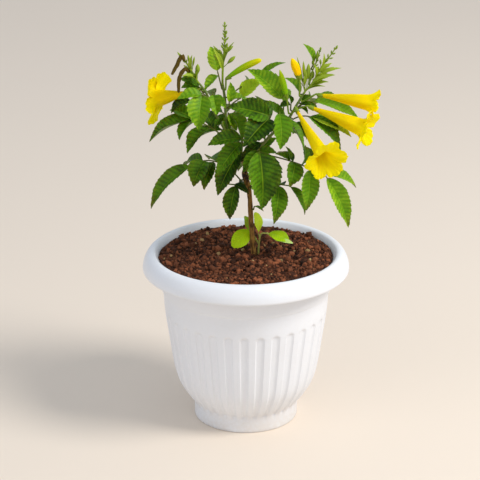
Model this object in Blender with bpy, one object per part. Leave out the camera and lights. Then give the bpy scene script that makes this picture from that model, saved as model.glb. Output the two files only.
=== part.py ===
"""Potted tecoma: a ribbed plastic pot with its soil, and a young yellow bells shrub in flower.

Metres, +Z up. The origin is the centre of the pot's flat underside and the plant's open side faces -Y.
Driving dimensions and meshes are in millimetres until add_object() scales a finished mesh to metres.
"""

import math

import bpy
import bmesh
from mathutils import Matrix, Vector

GAP = 0.35  # mm left between neighbours that touch on the real plant
SEAT_GAP = 0.55  # from the radius of a round stem, whose facets lie a little inside it
ELBOW = 1.6  # straight start of each side shoot, out of the stem that carries it

# ---------------------------------------------------------------- pot and soil

POT_FACETS = 64
FLUTES = 32
FLUTE_DEPTH = 1.2
FLUTE_FOOT, FLUTE_ARCH = 17.0, 112.0  # heights where the flutes start and where their arches close
FLOOR = 3.0
FOOT_RADIUS = 50.8
FLOOR_RADIUS = 46.8
DRAIN_RADIUS, DRAIN_CIRCLE, DRAINS = 4.0, 30.0, 4

# (radius, height) down to up: foot, fluted body, plain band, small step, neck under the rim
POT_BODY = [
    (51.4, 17.0),
    (59.0, 27.0),
    (66.8, 41.0),
    (71.1, 58.0),
    (75.6, 88.0),
    (78.2, 106.0),
    (79.0, 112.0),
    (80.6, 133.0),
    (81.3, 134.0),
    (85.4, 161.0),
]
# (radius, height) of the rim: out under the lip, round its edge, over the dome to the inner edge
POT_RIM = [
    (88.6, 166.6),
    (94.4, 163.6),
    (98.0, 153.6),
    (100.0, 153.6),
    (98.9, 161.5),
    (95.6, 168.2),
    (91.4, 171.5),
    (86.6, 168.8),
]
INNER_HEIGHTS = (161.0, 88.0, 58.0, 41.0, 27.0, 17.0)  # where the inner wall bends
INNER_WALL = 3.4  # wall on the lands between flutes
SOIL_EDGE, SOIL_EDGE_RADIUS = 165.5, 84.0
SOIL_HEAP = 1.5
SOIL_LUMP = 0.8
SOIL_RINGS = (0.94, 0.78, 0.58, 0.36)

# ---------------------------------------------------------------- stems

# (x, y, z, radius) of each stem's axis
TRUNK = [
    (8, 0, 152, 2.8),
    (8, 0, 167, 2.7),
    (5.5, 0, 200, 2.5),
    (3, 0, 232, 2.3),
    (0, 0, 244, 3.1),
    (-1, 0, 250, 3.1),
    (-1, 0, 254, 2.3),
]
# each branch and raceme: the stem that carries it, the height it leaves at (None: it goes on from the
# end), then its own points
BRANCHES = {
    "branch_centre": (
        "trunk",
        None,
        [(-5, 3, 264, 1.6), (-10, 6, 275, 1.6), (-16, 8, 286, 1.5), (-19, 9, 300, 1.4),
         (-20, 9, 320, 1.3), (-22, 9, 335, 1.2)],
    ),
    "branch_left": (
        "branch_centre",
        288,
        [(-24, 1, 300, 1.3), (-31, -4, 314, 1.2), (-37, -8, 331, 1.1), (-44, -10, 342, 1.0)],
    ),
    "branch_right": (
        "trunk",
        247,
        [(6, -3, 262, 1.5), (12, -6, 276, 1.5), (24, -8, 291, 1.4), (38, -10, 305, 1.3),
         (48, -10, 322, 1.2), (54, -9, 332, 1.1)],
    ),
}

# ---------------------------------------------------------------- leaves

RACHIS_BASE, RACHIS_TIP = 0.95, 0.75
BLADE_THICKNESS = 0.6  # half of it, at the midrib
BLADE_FOLD = 0.22  # rise of each margin over half the width
BLADE_ARCH = 0.11  # bow of the midrib over the leaflet's length
BLADE_STATIONS = ((0.0, 0.0), (0.12, 0.34), (0.36, 1.0), (0.68, 0.74))  # share of length, of width
LIGHT = Vector((0.20, -0.55, 0.35))  # leaflets also turn their faces this way

# leaf: (stem, height on it, rachis end, rise of the rachis at its middle,
#        [(share of the rachis, leaflet tip, width, roll in degrees)])
LEAVES = {
    "leaf_low_left": ("trunk", 244, (-53, 12, 256), 11, [
        (1.00, (-93, 14, 211), 19, 0),
        (0.74, (-50, -8, 239), 21, 0),
        (0.78, (-60, 30, 246), 15, 0),
        (0.60, (-40, -8, 237), 15, 0),
        (0.50, (-36, 38, 251), 16, 0),
    ]),
    "leaf_small_left": ("trunk", 240, (-11, -4, 240), 1, [
        (1.00, (-16.5, -10, 206), 16, 0),
        (0.70, (1, 18, 224), 11, 0),
    ]),
    "leaf_front_left": ("branch_centre", 264, (-3, -30, 294), 3, [
        (1.00, (-36, -34, 290), 17, 0),
        (0.80, (-27, -36, 260), 20, 0),
        (0.40, (-28.5, -22, 235), 19, 0),
    ]),
    "leaf_mid_left": ("branch_centre", 282, (-51, -5, 306), 3, [
        (1.00, (-91, -8, 285), 18, 35),
        (0.93, (-65, -24, 293), 13, 30),
        (0.95, (-72, 22, 300), 15, 0),
        (0.55, (-57, -18, 277), 18, 35),
        (0.50, (-40, 34, 299), 15, 0),
    ]),
    "leaf_upper_left": ("branch_left", 329, (-41, -21, 334), 0, [
        (1.00, (-44, -37, 302), 23, 0),
        (0.80, (-64, -24, 334), 12, 0),
    ]),
    "leaf_left_raceme": ("branch_left", 333, (-49, -4, 340), 0, [
        (1.00, (-62, 0, 343), 9, 0),
        (0.80, (-56, 4, 350), 8, 0),
    ]),
    "leaf_upper_mid": ("branch_left", 325, (-31, -16, 333), 0, [
        (1.00, (-27, -28, 316), 13, 0),
        (0.80, (-19, -18, 320), 9, 0),
    ]),
    "leaf_top_left": ("branch_centre", 330, (-27, 16, 346), 0, [
        (1.00, (-34, 28, 367), 15, 0),
        (0.80, (-40, 4, 332), 14, 0),
    ]),
    "leaf_bright": ("branch_centre", 312, (-5, 18, 319), 1, [
        (1.00, (15, 26, 332), 18, 15),
        (0.80, (-9, 40, 322), 12, 0),
    ]),
    "leaf_crown_back": ("branch_centre", 322, (14, 33, 340), 2, [
        (1.00, (38, 36, 349), 10, 0),
        (0.70, (4, 56, 316), 14, 0),
    ]),
    "leaf_crown": ("branch_right", 302, (37, 14, 322), 2, [
        (1.00, (2, 24, 346), 18, -35),
        (0.80, (30, 44, 322), 14, 0),
    ]),
    "leaf_centre": ("branch_right", 286, (23, -27, 315), 3, [
        (1.00, (-17, -30, 325), 22, -15),
        (0.90, (-3, -52, 293), 25, 0),
        (0.80, (8, -4, 328), 12, 30),
    ]),
    "leaf_right_inner": ("branch_right", 294, (31, -24, 318), 2, [
        (1.00, (30, -40, 287), 17, 0),
        (0.80, (54, -34, 284), 13, -30),
    ]),
    "leaf_front": ("branch_right", 264, (12, -34, 285), 3, [
        (1.00, (15, -50, 232), 32, 0),
        (0.85, (-3, -34, 262), 11, 0),
        (0.70, (29, -22, 277), 9, 0),
    ]),
    "leaf_right_low": ("branch_right", 273, (77, -12, 251), 3, [
        (1.00, (99, -18, 201), 18, 22),
        (0.92, (107, 10, 233), 15, 0),
        (0.75, (59, -28, 222), 17, 0),
        (0.72, (60, 14, 273), 14, 0),
        (0.52, (45, -28, 246), 17, 0),
        (0.50, (29, 12, 266), 11, 0),
    ]),
    "leaf_low_right": ("trunk", 236, (43, -10, 241), 2, [
        (1.00, (57, -14, 214), 11, 0),
        (0.70, (26, -30, 209), 17, 0),
        (0.85, (32, 6, 246), 12, 0),
    ]),
    "leaf_right_upper": ("branch_right", 309, (62, -10, 313), 2, [
        (1.00, (99, -14, 290), 16, 10),
        (0.80, (87, -34, 284), 18, 0),
    ]),
    "leaf_right_top": ("branch_right", 323, (62, 2, 321), 1, [
        (1.00, (107, 6, 302), 14, 10),
    ]),
    "leaf_raceme_right": ("branch_right", 330, (51, 1, 328), 0, [
        (1.00, (36, 6, 342), 14, 0),
    ]),
    "leaf_lance": ("raceme_side", 351, (60, 3, 357), 0, [
        (1.00, (53, 5, 377), 12, 0),
    ]),
    "leaf_back_low": ("trunk", 242, (12, 40, 246), 5, [
        (1.00, (16, 74, 226), 18, 0),
        (0.75, (-8, 58, 232), 15, 0),
        (0.75, (34, 52, 233), 15, 0),
    ]),
    "leaf_back_left": ("branch_centre", 272, (-28, 42, 282), 5, [
        (1.00, (-44, 70, 266), 18, 0),
        (0.75, (-50, 42, 268), 15, 0),
        (0.75, (-12, 64, 268), 15, 0),
    ]),
    "leaf_back_right": ("branch_right", 274, (34, 32, 284), 5, [
        (1.00, (46, 66, 268), 18, 0),
        (0.75, (62, 34, 272), 15, 0),
        (0.75, (20, 58, 272), 14, 0),
    ]),
    "leaf_back_upper_left": ("branch_left", 316, (-44, 32, 320), 4, [
        (1.00, (-62, 58, 302), 17, 0),
        (0.75, (-66, 34, 310), 14, 0),
        (0.75, (-32, 56, 306), 14, 0),
    ]),
    "leaf_back_centre": ("branch_centre", 298, (-2, 40, 303), 4, [
        (1.00, (8, 74, 290), 17, 0),
        (0.75, (-20, 60, 290), 14, 0),
        (0.75, (22, 56, 296), 14, 0),
    ]),
    "leaf_back_upper_right": ("branch_right", 314, (66, 26, 316), 4, [
        (1.00, (94, 46, 296), 17, 0),
        (0.75, (62, 54, 298), 14, 0),
    ]),
}

# ---------------------------------------------------------------- seedling at the foot of the trunk

SEEDLING_STEM = [(12, 4, 155, 1.0), (12, 4, 168, 1.0), (12.5, 3, 177, 0.9), (14, 0, 187, 0.8),
                 (16, -3, 190, 0.7), (20, -6, 191, 0.65)]
# (share of the stem, start of the blade, leaf tip, width, roll in degrees)
SEEDLING_LEAVES = [
    (0.55, (1, 7, 190), (-14, -5, 178), 17, -25),
    (0.60, (5, 13, 190), (0, 15, 203), 8, 0),
    (0.66, (14, 7, 189), (8, 9, 208), 10, 0),
    (1.00, (22.5, -8, 192), (41, -14, 187), 15, 0),
]

# ---------------------------------------------------------------- racemes

RACEMES = {
    "raceme_centre": (
        "branch_centre",
        None,
        [(-22, 9, 349, 1.0), (-21, 9, 364, 0.8), (-20, 9, 378, 0.6), (-20, 9, 393, 0.5)],
    ),
    "raceme_left": (
        "branch_left",
        None,
        [(-52, -11, 356, 0.8), (-59, -11, 367, 0.6)],
    ),
    "raceme_right": (
        "branch_right",
        None,
        [(62, -8, 342, 0.9), (69, -7, 355, 0.8), (77, -7, 366, 0.6), (83, -7, 375, 0.5)],
    ),
    "raceme_side": (
        "raceme_right",
        339,
        [(60, 1, 346, 0.7), (64, 4, 354, 0.6), (67, 4, 362, 0.6), (69, 4, 370, 0.5)],
    ),
}
# raceme: number of bud pairs, length of the lowest bud with its stalk, share of the stalk below it
RACEME_BUDS = {
    "raceme_centre": (10, 15.0, 0.18),
    "raceme_left": (5, 11.0, 0.20),
    "raceme_right": (8, 13.0, 0.25),
    "raceme_side": (4, 7.0, 0.55),
}

# ---------------------------------------------------------------- flowers, buds and pods

COROLLA_SIDES = 15
# share of the tube's length, share of the mouth radius: outside, then inside back down
COROLLA_OUTSIDE = ((0.0, 0.20), (0.26, 0.42), (0.58, 0.82), (0.90, 1.0))
COROLLA_INSIDE = ((0.94, 0.91), (0.58, 0.70), (0.28, 0.28))
COROLLA_WALL = 0.7
LOBE_PATTERN = (1.0, 0.96, 0.72)  # two points on each lobe, one in the notch after it
CALYX_LENGTH = 6.0
CALYX_SIDES = 8

# flower: (stem, height it leaves at, calyx foot, mouth centre, mouth radius, lobe radius)
FLOWERS = {
    "flower_left": ("branch_left", 338, (-53, -10, 333), (-81, 7, 323), 8.0, 21.5),
    "flower_right_upper": ("branch_right", 326, (66, -14, 332), (120, -20, 329), 7.5, 10.5),
    "flower_right_middle": ("branch_right", 319, (64, -20, 320), (112, -35, 304), 8.0, 17.5),
    "flower_front": ("branch_right", 313, (48, -21, 319), (73, -74, 289), 8.0, 22.0),
}
# closed bud: (raceme or branch, height, foot, tip, widest radius)
BUDS = {
    "bud_yellow": ("branch_right", 329, (50, -13, 347), (42, -15, 367), 4.0),
    "bud_opening": ("branch_centre", 331, (-19, 4, 342), (14, 2, 362), 3.8),
    "bud_slender": ("branch_right", 312, (38, -13, 328), (31, -13, 356), 2.9),
}
# seed pod: (raceme, height, its points)
PODS = {
    "pod_upper": ("raceme_left", 365, [(-63, -14, 370), (-66, -15, 361), (-69, -15, 352)]),
    "pod_long": ("raceme_left", 355, [(-57, -15, 357), (-62, -16, 349), (-63, -16, 335)]),
}
POD_RADIUS = 1.8


# ---------------------------------------------------------------- materials and objects


def make_material(name, colour, roughness, metallic=0.0):
    material = bpy.data.materials.new(name)
    material.use_nodes = True
    shader = material.node_tree.nodes["Principled BSDF"]
    shader.inputs["Base Color"].default_value = (*colour, 1.0)
    shader.inputs["Roughness"].default_value = roughness
    shader.inputs["Metallic"].default_value = metallic
    material.diffuse_color = (*colour, 1.0)
    return material


def add_object(name, bm, material, smooth=True):
    """A mesh object from a bmesh in millimetres, with its faces turned outwards."""
    bmesh.ops.scale(bm, vec=(0.001, 0.001, 0.001), verts=bm.verts)
    bmesh.ops.recalc_face_normals(bm, faces=bm.faces)
    mesh = bpy.data.meshes.new(name)
    bm.to_mesh(mesh)
    bm.free()
    mesh.materials.append(material)
    if smooth:
        mesh.shade_smooth()
        mesh.set_sharp_from_angle(angle=math.radians(40))
    obj = bpy.data.objects.new(name, mesh)
    bpy.context.scene.collection.objects.link(obj)
    return obj


def hide_helper(obj):
    obj.hide_render = True
    obj.display_type = "WIRE"


def add_boolean(obj, helper, operation):
    hide_helper(helper)
    boolean = obj.modifiers.new(operation.title(), "BOOLEAN")
    boolean.operation = operation
    boolean.solver = "EXACT"
    boolean.object = helper
    boolean.use_self = operation == "UNION"


# ---------------------------------------------------------------- lofted shapes


def skin(bm, rings, close_start=True, close_end=True):
    """Faces between rings of points; a ring may have half the points of its neighbour, or be one point."""
    made = [[bm.verts.new(point) for point in ring] for ring in rings]
    for near, far in zip(made, made[1:]):
        if len(near) == 1 or len(far) == 1:
            apex, ring = (near[0], far) if len(near) == 1 else (far[0], near)
            for index, vert in enumerate(ring):
                bm.faces.new((apex, vert, ring[(index + 1) % len(ring)]))
        elif len(near) == len(far):
            for index in range(len(near)):
                after = (index + 1) % len(near)
                bm.faces.new((near[index], near[after], far[after], far[index]))
        else:
            fine, coarse = (near, far) if len(near) > len(far) else (far, near)
            for index, vert in enumerate(coarse):
                after = coarse[(index + 1) % len(coarse)]
                first, middle, last = (fine[(2 * index + step) % len(fine)] for step in range(3))
                bm.faces.new((vert, first, middle))
                bm.faces.new((vert, middle, after))
                bm.faces.new((after, middle, last))
    if close_start and len(made[0]) > 1:
        bm.faces.new(made[0])
    if close_end and len(made[-1]) > 1:
        bm.faces.new(made[-1])


def circle(radius, height, facets, wave=None):
    """Points round the pot's axis; wave gives the radius' change at an angle."""
    points = []
    for index in range(facets):
        angle = 2 * math.pi * index / facets
        reach = radius - (wave(index) if wave else 0.0)
        points.append(Vector((reach * math.cos(angle), reach * math.sin(angle), height)))
    return points


def smooth_path(points, steps):
    """A Catmull-Rom curve through (x, y, z, radius) points, with steps between each two."""
    def value(before, start, end, after, t):
        return 0.5 * (
            2 * start
            + (end - before) * t
            + (2 * before - 5 * start + 4 * end - after) * t * t
            + (3 * start - before - 3 * end + after) * t * t * t
        )

    rows = [points[0], *points, points[-1]]
    path = []
    for index in range(1, len(rows) - 2):
        for step in range(steps):
            near = rows[index - 1 : index + 3]
            path.append(tuple(value(*(row[axis] for row in near), step / steps) for axis in range(4)))
    path.append(tuple(points[-1]))
    return path


def frames_along(points):
    """Two unit vectors across the path at each point, turned no more than the path itself turns."""
    tangents = []
    for index in range(len(points)):
        before = points[max(index - 1, 0)]
        after = points[min(index + 1, len(points) - 1)]
        tangents.append((after - before).normalized())
    side = tangents[0].orthogonal().normalized()
    frames = []
    for tangent in tangents:
        side = (side - tangent * side.dot(tangent)).normalized()
        frames.append((side.copy(), tangent.cross(side)))
    return frames


def tube_rings(points, radii, sides):
    rings = []
    for point, radius, (side, other) in zip(points, radii, frames_along(points)):
        angles = [2 * math.pi * index / sides for index in range(sides)]
        rings.append([point + (side * math.cos(a) + other * math.sin(a)) * radius for a in angles])
    return rings


# ---------------------------------------------------------------- stems


def point_at_height(path, height):
    """(point, tangent, radius) where a rising path passes this height."""
    for near, far in zip(path, path[1:]):
        if far[2] >= height:
            break
    share = min(max((height - near[2]) / (far[2] - near[2]), 0.0), 1.0)
    point = Vector(near[:3]).lerp(Vector(far[:3]), share)
    tangent = (Vector(far[:3]) - Vector(near[:3])).normalized()
    return point, tangent, near[3] + (far[3] - near[3]) * share


def seat_on(path, height, toward):
    """(start, outward) of a side shoot that leaves a stem at this height for a point."""
    point, tangent, radius = point_at_height(path, height)
    outward = Vector(toward) - point
    outward = (outward - tangent * outward.dot(tangent)).normalized()
    return point + outward * (radius + SEAT_GAP), outward


def stem_paths():
    """The finely stepped axis of the trunk, of each branch and of each raceme, by name."""
    paths = {"trunk": smooth_path(TRUNK, 2)}
    for name, (carrier, height, points) in (BRANCHES | RACEMES).items():
        radius = points[0][3]
        if height is None:
            before, end = (Vector(row[:3]) for row in paths[carrier][-2:])
            outward = (end - before).normalized()
            start = end + outward * GAP
        else:
            start, outward = seat_on(paths[carrier], height, points[0][:3])
        elbow = (*(start + outward * ELBOW), radius)
        paths[name] = [(*start, radius)] + smooth_path([elbow] + points, 2)
    return paths


def make_stem(name, path, material, sides=8):
    bm = bmesh.new()
    points = [Vector(row[:3]) for row in path]
    skin(bm, tube_rings(points, [row[3] for row in path], sides))
    return add_object(name, bm, material)


# ---------------------------------------------------------------- leaves


def blade_rings(base, tip, width, roll=0.0, arch=BLADE_ARCH):
    """Diamond sections of a leaflet: left margin, midrib top, right margin, midrib underside."""
    length = (tip - base).length
    axis = (tip - base).normalized()
    outward = Vector((tip.x, tip.y, 0.0))
    if outward.length > 0:
        outward.normalize()
    facing = Vector((0.0, 0.0, 0.7)) + outward * 0.4 + LIGHT
    facing = (facing - axis * facing.dot(axis)).normalized()
    facing = Matrix.Rotation(math.radians(roll), 3, axis) @ facing
    across = axis.cross(facing)
    crown = (base + tip) / 2 + facing * (2 * arch * length)
    rings = []
    for share, fullness in BLADE_STATIONS:
        middle = base * (1 - share) ** 2 + crown * (2 * share * (1 - share)) + tip * share**2
        half = max(width / 2 * fullness, 0.55)
        thick = max(BLADE_THICKNESS * (1 - 0.4 * share), 0.3)
        lift = facing * (half * BLADE_FOLD)
        rings.append([
            middle - across * half + lift,
            middle + facing * thick,
            middle + across * half + lift,
            middle - facing * thick,
        ])
    rings.append([tip])
    return rings


def rachis_path(path, height, end, rise, steps=4):
    """The leaf stalk: straight out of the stem, then bowed to its end."""
    start, outward = seat_on(path, height, end)
    reach = (end - start).length
    elbow = start + outward * min(2.0, reach * 0.25)
    crown = (elbow + end) / 2 + Vector((0.0, 0.0, 2.0 * rise))
    points = [start, elbow]
    for step in range(1, steps + 1):
        share = step / steps
        points.append(elbow * (1 - share) ** 2 + crown * (2 * share * (1 - share)) + end * share**2)
    return points


def point_along(points, share):
    """The point at this share of the path's length, kept 1 mm short of its end."""
    lengths = [(after - before).length for before, after in zip(points, points[1:])]
    left = min(share * sum(lengths), sum(lengths) - 1.0)
    for before, after, length in zip(points, points[1:], lengths):
        if left <= length:
            return before.lerp(after, left / length)
        left -= length
    return points[-1]


def make_leaf(name, stem, height, end, rise, leaflets, material):
    """One compound leaf: a stalk with its leaflets, joined in one solid."""
    points = rachis_path(stem, height, Vector(end), rise)
    taper = [RACHIS_BASE + (RACHIS_TIP - RACHIS_BASE) * i / (len(points) - 1) for i in range(len(points))]
    stalk = bmesh.new()
    skin(stalk, tube_rings(points, taper, 6))
    leaf = add_object(name, stalk, material)
    blades = bmesh.new()
    for share, tip, width, roll in leaflets:
        skin(blades, blade_rings(point_along(points, share), Vector(tip), width, roll))
    add_boolean(leaf, add_object(name + "_leaflets", blades, material), "UNION")
    return leaf


def make_seedling(material):
    path = smooth_path(SEEDLING_STEM, 2)
    points = [Vector(row[:3]) for row in path]
    stem = bmesh.new()
    skin(stem, tube_rings(points, [row[3] for row in path], 6))
    seedling = add_object("seedling", stem, material)
    blades = bmesh.new()
    for share, base, tip, width, roll in SEEDLING_LEAVES:
        base, tip = Vector(base), Vector(tip)
        petiole = [point_along(points, share), base, base.lerp(tip, 0.1)]
        skin(blades, tube_rings(petiole, [0.6, 0.6, 0.5], 5))
        skin(blades, blade_rings(base, tip, width, roll))
    add_boolean(seedling, add_object("seedling_leaves", blades, material), "UNION")
    return path


# ---------------------------------------------------------------- pot and soil


def body_radius(height):
    """The pot's outer radius between its flutes."""
    for (near, low), (far, high) in zip(POT_BODY, POT_BODY[1:]):
        if height <= high:
            break
    return near + (far - near) * (height - low) / (high - low)


def fluted_ring(radius, height):
    """A ring of the outer body: finely stepped and fluted up to the arches, plain above them."""
    if height > FLUTE_ARCH:
        return circle(radius, height, POT_FACETS)
    per_flute = 2 * POT_FACETS // FLUTES
    closing = min((FLUTE_ARCH - height) / 6.0, (height - FLUTE_FOOT) / 4.0, 1.0)
    depth = FLUTE_DEPTH * max(closing, 0.0)
    return circle(radius, height, 2 * POT_FACETS, lambda index: depth if (index + 1) % per_flute < 2 else 0.0)


def make_pot(material):
    fine = 2 * POT_FACETS
    rings = [
        circle(FOOT_RADIUS - 1.4, 0.0, fine),
        circle(FOOT_RADIUS, 1.4, fine),
        circle(FOOT_RADIUS, FLUTE_FOOT - 3.5, fine),
    ]
    rings += [fluted_ring(radius, height) for radius, height in POT_BODY]
    rings += [circle(radius, height, POT_FACETS) for radius, height in POT_RIM]
    rings += [circle(body_radius(z) - INNER_WALL, z, POT_FACETS) for z in INNER_HEIGHTS]
    rings += [circle(FLOOR_RADIUS, FLOOR, POT_FACETS)]
    bm = bmesh.new()
    skin(bm, rings)
    pot = add_object("pot", bm, material)
    drills = bmesh.new()
    for index in range(DRAINS):
        angle = math.radians(45) + 2 * math.pi * index / DRAINS
        centre = Vector((DRAIN_CIRCLE * math.cos(angle), DRAIN_CIRCLE * math.sin(angle), FLOOR / 2))
        bmesh.ops.create_cone(
            drills, cap_ends=True, segments=12, radius1=DRAIN_RADIUS, radius2=DRAIN_RADIUS,
            depth=2 * FLOOR, matrix=Matrix.Translation(centre),
        )
    add_boolean(pot, add_object("pot_drain_drills", drills, material), "DIFFERENCE")


def make_soil(material, sunk):
    """Soil that fills the pot, a little heaped, with a socket round each stem sunk in it."""
    rings = [circle(FLOOR_RADIUS - GAP, FLOOR + GAP, POT_FACETS)]
    rings += [circle(body_radius(z) - INNER_WALL - GAP, z, POT_FACETS) for z in INNER_HEIGHTS[::-1]]
    rings += [circle(SOIL_EDGE_RADIUS, SOIL_EDGE, POT_FACETS)]
    for row, share in enumerate(SOIL_RINGS):
        points = circle(SOIL_EDGE_RADIUS * share, SOIL_EDGE, POT_FACETS // (1 if row == 0 else 2))
        for index, point in enumerate(points):
            lump = math.sin(index * 2.4 + row * 1.7) + math.sin(index * 0.9 + row)
            point.z += SOIL_HEAP * (1 - share) + lump * SOIL_LUMP
        rings.append(points)
    rings.append([Vector((0.0, 0.0, SOIL_EDGE + SOIL_HEAP))])
    bm = bmesh.new()
    skin(bm, rings)
    soil = add_object("soil", bm, material)
    sockets = bmesh.new()
    for path in sunk:
        points = [Vector(row[:3]) for row in path if row[2] < SOIL_EDGE + 14]
        points[0] = points[0] - Vector((0.0, 0.0, 2 * GAP))
        skin(sockets, tube_rings(points, [path[0][3] + 2 * GAP] * len(points), 10))
    add_boolean(soil, add_object("soil_sockets", sockets, material), "DIFFERENCE")


# ---------------------------------------------------------------- racemes, flowers, buds and pods


def bud_rings(foot, tip):
    """A short stalk that swells into a pointed bud."""
    length = (tip - foot).length
    points = [foot, foot.lerp(tip, 0.42), foot.lerp(tip, 0.70)]
    return tube_rings(points, [0.42, 0.48, 0.13 * length + 0.3], 5) + [[tip]]


def make_raceme(name, path, material):
    """A flower stalk with pairs of buds that shorten towards its tip, joined in one solid."""
    pairs, longest, bare = RACEME_BUDS[name]
    axis = [Vector(row[:3]) for row in path]
    stalk = bmesh.new()
    skin(stalk, tube_rings(axis, [row[3] for row in path], 6))
    raceme = add_object(name, stalk, material)
    buds = bmesh.new()
    for pair in range(pairs):
        share = bare + (0.95 - bare) * pair / (pairs - 1)
        length = longest * (1 - 0.7 * share)
        foot = point_along(axis, share)
        ahead = (point_along(axis, share + 0.05) - point_along(axis, share - 0.05)).normalized()
        side = ahead.orthogonal().normalized()
        for turn in (0.0, math.pi):
            spin = Matrix.Rotation(turn + pair * 1.9, 3, ahead)
            lean = (spin @ side + ahead * 1.3).normalized()
            skin(buds, bud_rings(foot, foot + lean * length))
    add_boolean(raceme, add_object(name + "_buds", buds, material), "UNION")


def corolla_rings(foot, mouth, mouth_radius, lobe_radius):
    """A trumpet with five lobes: up its outside, round the lobes, and back down its inside."""
    axis = mouth - foot
    side = axis.orthogonal().normalized()
    other = axis.normalized().cross(side)

    def ring(share, radii):
        points = []
        for index in range(COROLLA_SIDES):
            angle = 2 * math.pi * index / COROLLA_SIDES
            reach = radii[index % len(radii)]
            points.append(foot + axis * share + (side * math.cos(angle) + other * math.sin(angle)) * reach)
        return points

    rings = [ring(share, [radius * mouth_radius]) for share, radius in COROLLA_OUTSIDE]
    lobes = [mouth_radius + (lobe_radius - mouth_radius) * part for part in LOBE_PATTERN]
    back = -COROLLA_WALL / axis.length
    rings.append(ring(1.0 + back, [reach * 0.99 for reach in lobes]))
    rings.append(ring(1.0, lobes))
    rings += [ring(share, [radius * mouth_radius]) for share, radius in COROLLA_INSIDE]
    return rings


def make_flower(name, stem, height, foot, mouth, mouth_radius, lobe_radius, petal, sepal):
    """A corolla, and the calyx that holds it on its pedicel."""
    foot, mouth = Vector(foot), Vector(mouth)
    ahead = (mouth - foot).normalized()
    throat = COROLLA_OUTSIDE[0][1] * mouth_radius
    bm = bmesh.new()
    skin(bm, corolla_rings(foot + ahead * 2 * GAP, mouth, mouth_radius, lobe_radius))
    add_object(name, bm, petal)

    start, outward = seat_on(stem, height, foot)
    elbow = start + outward * ELBOW
    heel = foot - ahead * 1.6
    path = [start, elbow, (elbow + heel) / 2, heel, foot, foot + ahead * CALYX_LENGTH]
    cup = throat + 1.5
    rings = tube_rings(path, [0.8, 0.8, 0.8, 0.9, cup, cup + 1.0], CALYX_SIDES)
    brim, heart = path[-1], foot
    rings.append([brim + (point - brim) * (1 - 0.5 / (cup + 1.0)) for point in rings[-1]])
    rings.append([heart + (point - brim) * ((throat + 2 * GAP) / (cup + 1.0)) for point in rings[-2]])
    bm = bmesh.new()
    skin(bm, rings)
    add_object(name.replace("flower", "calyx"), bm, sepal)


def make_bud(name, stem, height, foot, tip, radius, material):
    foot, tip = Vector(foot), Vector(tip)
    start, outward = seat_on(stem, height, foot)
    path = [start, start + outward * ELBOW, foot]
    radii = [0.8, 0.8, 1.2]
    for share, part in ((0.2, 0.62), (0.5, 0.9), (0.75, 1.0), (0.92, 0.6)):
        path.append(foot.lerp(tip, share))
        radii.append(radius * part)
    bm = bmesh.new()
    skin(bm, tube_rings(path, radii, 8) + [[tip]])
    add_object(name, bm, material)


def make_pod(name, stem, height, points, material):
    """A dry pod that bends out of its stalk and hangs."""
    start, outward = seat_on(stem, height, points[0])
    elbow = (*(start + outward * ELBOW), 0.9)
    path = [(*start, 0.6)] + smooth_path([elbow] + [(*point, POD_RADIUS) for point in points], 2)
    bm = bmesh.new()
    skin(bm, tube_rings([Vector(row[:3]) for row in path], [row[3] for row in path], 6))
    add_object(name, bm, material)


def clear_scene():
    for obj in list(bpy.data.objects):
        bpy.data.objects.remove(obj, do_unlink=True)


def main():
    clear_scene()
    plastic = make_material("pot_plastic", (0.86, 0.87, 0.90), 0.35)
    earth = make_material("soil_earth", (0.045, 0.020, 0.012), 0.95)
    bark = make_material("trunk_bark", (0.16, 0.08, 0.035), 0.8)
    shoot = make_material("shoot_green", (0.20, 0.26, 0.06), 0.55)
    leaf_green = make_material("leaf_green", (0.06, 0.19, 0.03), 0.5)
    lime = make_material("seedling_lime", (0.32, 0.50, 0.04), 0.5)
    bud_green = make_material("bud_green", (0.28, 0.40, 0.05), 0.5)
    petal = make_material("petal_yellow", (1.0, 0.72, 0.0), 0.55)
    pod_brown = make_material("pod_brown", (0.07, 0.05, 0.02), 0.7)

    make_pot(plastic)
    paths = stem_paths()
    make_stem("trunk", paths["trunk"], bark)
    for name in BRANCHES:
        make_stem(name, paths[name], shoot)
    seedling_path = make_seedling(lime)
    make_soil(earth, [paths["trunk"], seedling_path])

    for name, (stem, height, end, rise, leaflets) in LEAVES.items():
        make_leaf(name, paths[stem], height, end, rise, leaflets, leaf_green)
    for name in RACEMES:
        make_raceme(name, paths[name], bud_green)
    for name, (stem, height, foot, mouth, mouth_radius, lobe_radius) in FLOWERS.items():
        make_flower(name, paths[stem], height, foot, mouth, mouth_radius, lobe_radius, petal, bud_green)
    for name, (stem, height, foot, tip, radius) in BUDS.items():
        material = petal if name == "bud_yellow" else bud_green
        make_bud(name, paths[stem], height, foot, tip, radius, material)
    for name, (stem, height, points) in PODS.items():
        make_pod(name, paths[stem], height, points, pod_brown)


main()
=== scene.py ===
"""Potted tecoma: a white ribbed flower pot of crumbly soil with a young yellow bells shrub in flower.

Lengths in the plan tables are in millimetres, in the part's frame: +Z up, the origin at the centre of
the pot's underside, the plant's open side towards -Y.
"""

import math

import bpy
import numpy as np
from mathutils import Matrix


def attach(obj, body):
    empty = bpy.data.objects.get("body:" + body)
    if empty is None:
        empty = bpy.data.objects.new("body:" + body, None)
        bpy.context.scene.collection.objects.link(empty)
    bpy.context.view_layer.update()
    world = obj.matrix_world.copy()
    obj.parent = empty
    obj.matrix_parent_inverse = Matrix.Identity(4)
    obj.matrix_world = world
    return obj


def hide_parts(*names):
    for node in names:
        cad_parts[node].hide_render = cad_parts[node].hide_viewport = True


bl_info = {
    "name": "Potted Tecoma",
    "version": (1, 0, 0),
    "blender": (4, 5, 0),
    "location": "View3D > Sidebar > Tecoma",
    "description": "Builds a potted yellow bells shrub, from its ribbed pot to its trumpet flowers",
    "category": "Object",
}

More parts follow.
